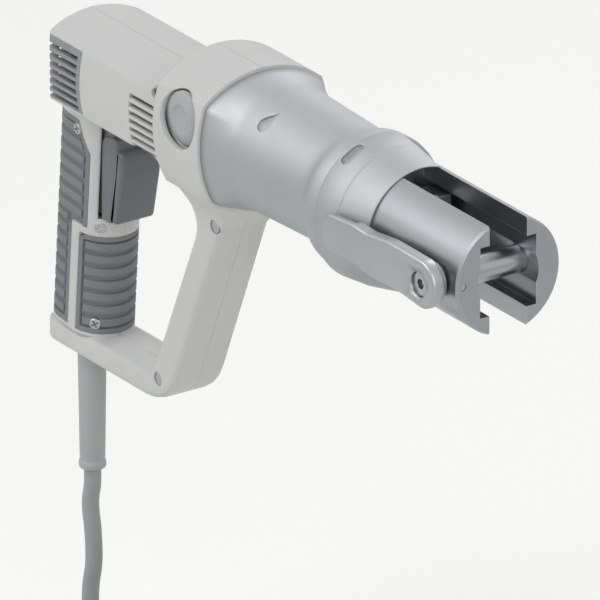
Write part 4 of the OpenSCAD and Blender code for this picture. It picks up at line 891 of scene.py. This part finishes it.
# %% Which node wears which finish
WEARS = {
    casing_nylon: ["casing_right", "casing_left"],
    # the rear cap's darker tone is partly painted shade of its louvre slots
    louvre_cap_nylon_painted_shade: ["rear_cap"],
    switch_abs: ["switch_body", "brush_holders", "cooling_fan"],
    board_laminate: ["control_board"],
    cast_aluminium: ["tapered_sleeve", "swivel_ring", "pump_block", "bearing_plate"],
    turned_steel: ["jaw_fork", "press_cylinder", "rod_guide", "roller_carriage"],
    ground_steel: ["retaining_bolt", "press_piston", "roller_upper", "roller_lower",
                   "roller_pins", "detent_pin", "lever_screw", "casing_screws", "motor_shaft",
                   "eccentric_shaft", "motor_pinion", "drive_gear", "rear_bearing",
                   "front_bearing", "return_spring", "trigger_spring"],
    winding_copper: ["commutator"],
    sheet_steel: ["motor_stator", "armature_core"],
    pin_brass: ["plug_pins"],
}
for material, names in WEARS.items():
    for name in names:
        NODES[name].data.materials.clear()
        NODES[name].data.materials.append(material)
bare = set(NODES) - {n for names in WEARS.values() for n in names}
print("nodes with no finish of their own:", sorted(n for n in bare if not NODES[n].hide_render))

# %% [markdown]
# ## Floor and light
#
# A pale floor lies under the coil of cord and catches the shadow. Three large soft lamps and an
# even pale sky light the tool plainly, so that a grey renders as the grey it was given. What the
# camera and the reflections see of the sky and the floor is made whiter by the Light Path node, so
# the picture is pale without more light on the tool. Stronger lamps would whiten the floor as well,
# but they would wash out the casing.

# %% Floor
FLOOR_Z = -254 * MM
FLOOR_HALF = 40.0
FLOOR_GLOW = 0.2


def seen_directly(tree):
    """One where the ray comes from the camera, a reflection or a refraction, otherwise zero."""
    path = add(tree, "ShaderNodeLightPath", {})
    seen = path.outputs["Is Camera Ray"]
    for way in ("Is Glossy Ray", "Is Transmission Ray"):
        seen = add(tree, "ShaderNodeMath", {0: seen, 1: path.outputs[way]},
                   operation="MAXIMUM").outputs["Value"]
    return seen


bm = bmesh.new()
bmesh.ops.create_grid(bm, x_segments=1, y_segments=1, size=FLOOR_HALF)
bmesh.ops.translate(bm, vec=(0, 0, FLOOR_Z), verts=bm.verts)
mesh = bpy.data.meshes.new("floor")
bm.to_mesh(mesh)
bm.free()
floor = bpy.data.objects.new("floor", mesh)
bpy.context.scene.collection.objects.link(floor)
paper = bpy.data.materials.new("paper_backdrop_matt")
paper.use_nodes = True
tree = paper.node_tree
tree.nodes.clear()
glow = add(tree, "ShaderNodeMapRange", {"Value": seen_directly(tree), "To Max": FLOOR_GLOW})
sheet = add(tree, "ShaderNodeBsdfPrincipled", {
    "Base Color": linear("#F3F3F1"), "Roughness": 0.9, "Emission Color": linear("#FFFFFF"),
    "Emission Strength": glow.outputs["Result"]})
add(tree, "ShaderNodeOutputMaterial", {"Surface": sheet.outputs["BSDF"]})
mesh.materials.append(paper)
print("the floor lies", round(-FLOOR_Z / MM), "mm below the grip's origin")

# %% Sky
SKY_ON_TOOL, SKY_SEEN = 0.4, 1.0
world = bpy.data.worlds.new("studio")
bpy.context.scene.world = world
world.use_nodes = True
tree = world.node_tree
tree.nodes.clear()
strength = add(tree, "ShaderNodeMapRange",
               {"Value": seen_directly(tree), "To Min": SKY_ON_TOOL, "To Max": SKY_SEEN})
sky = add(tree, "ShaderNodeBackground", {"Color": linear("#FFFFFF"),
                                         "Strength": strength.outputs["Result"]})
add(tree, "ShaderNodeOutputWorld", {"Surface": sky.outputs["Background"]})
print("the sky lights the tool at", SKY_ON_TOOL, "and looks", SKY_SEEN)


# %% Lamps
def lamp(name, place, size, power):
    """A square soft lamp that faces the tool."""
    light = bpy.data.lights.new(name, "AREA")
    light.shape, light.size, light.energy = "SQUARE", size, power
    stand = bpy.data.objects.new(name, light)
    stand.location = place
    stand.rotation_euler = (AIM - Vector(place)).to_track_quat("-Z", "Y").to_euler()
    bpy.context.scene.collection.objects.link(stand)


# name, place and width in metres, and power in watts
LAMPS = [("key_lamp", (-0.5, -1.3, 1.5), 1.6, 17), ("front_lamp", (1.8, -0.5, 0.9), 1.2, 9),
         ("back_lamp", (-0.6, 1.5, 1.4), 0.9, 9)]
for row in LAMPS:
    lamp(*row)
bpy.context.scene.view_settings.view_transform = "Standard"
print(len(LAMPS), "lamps")
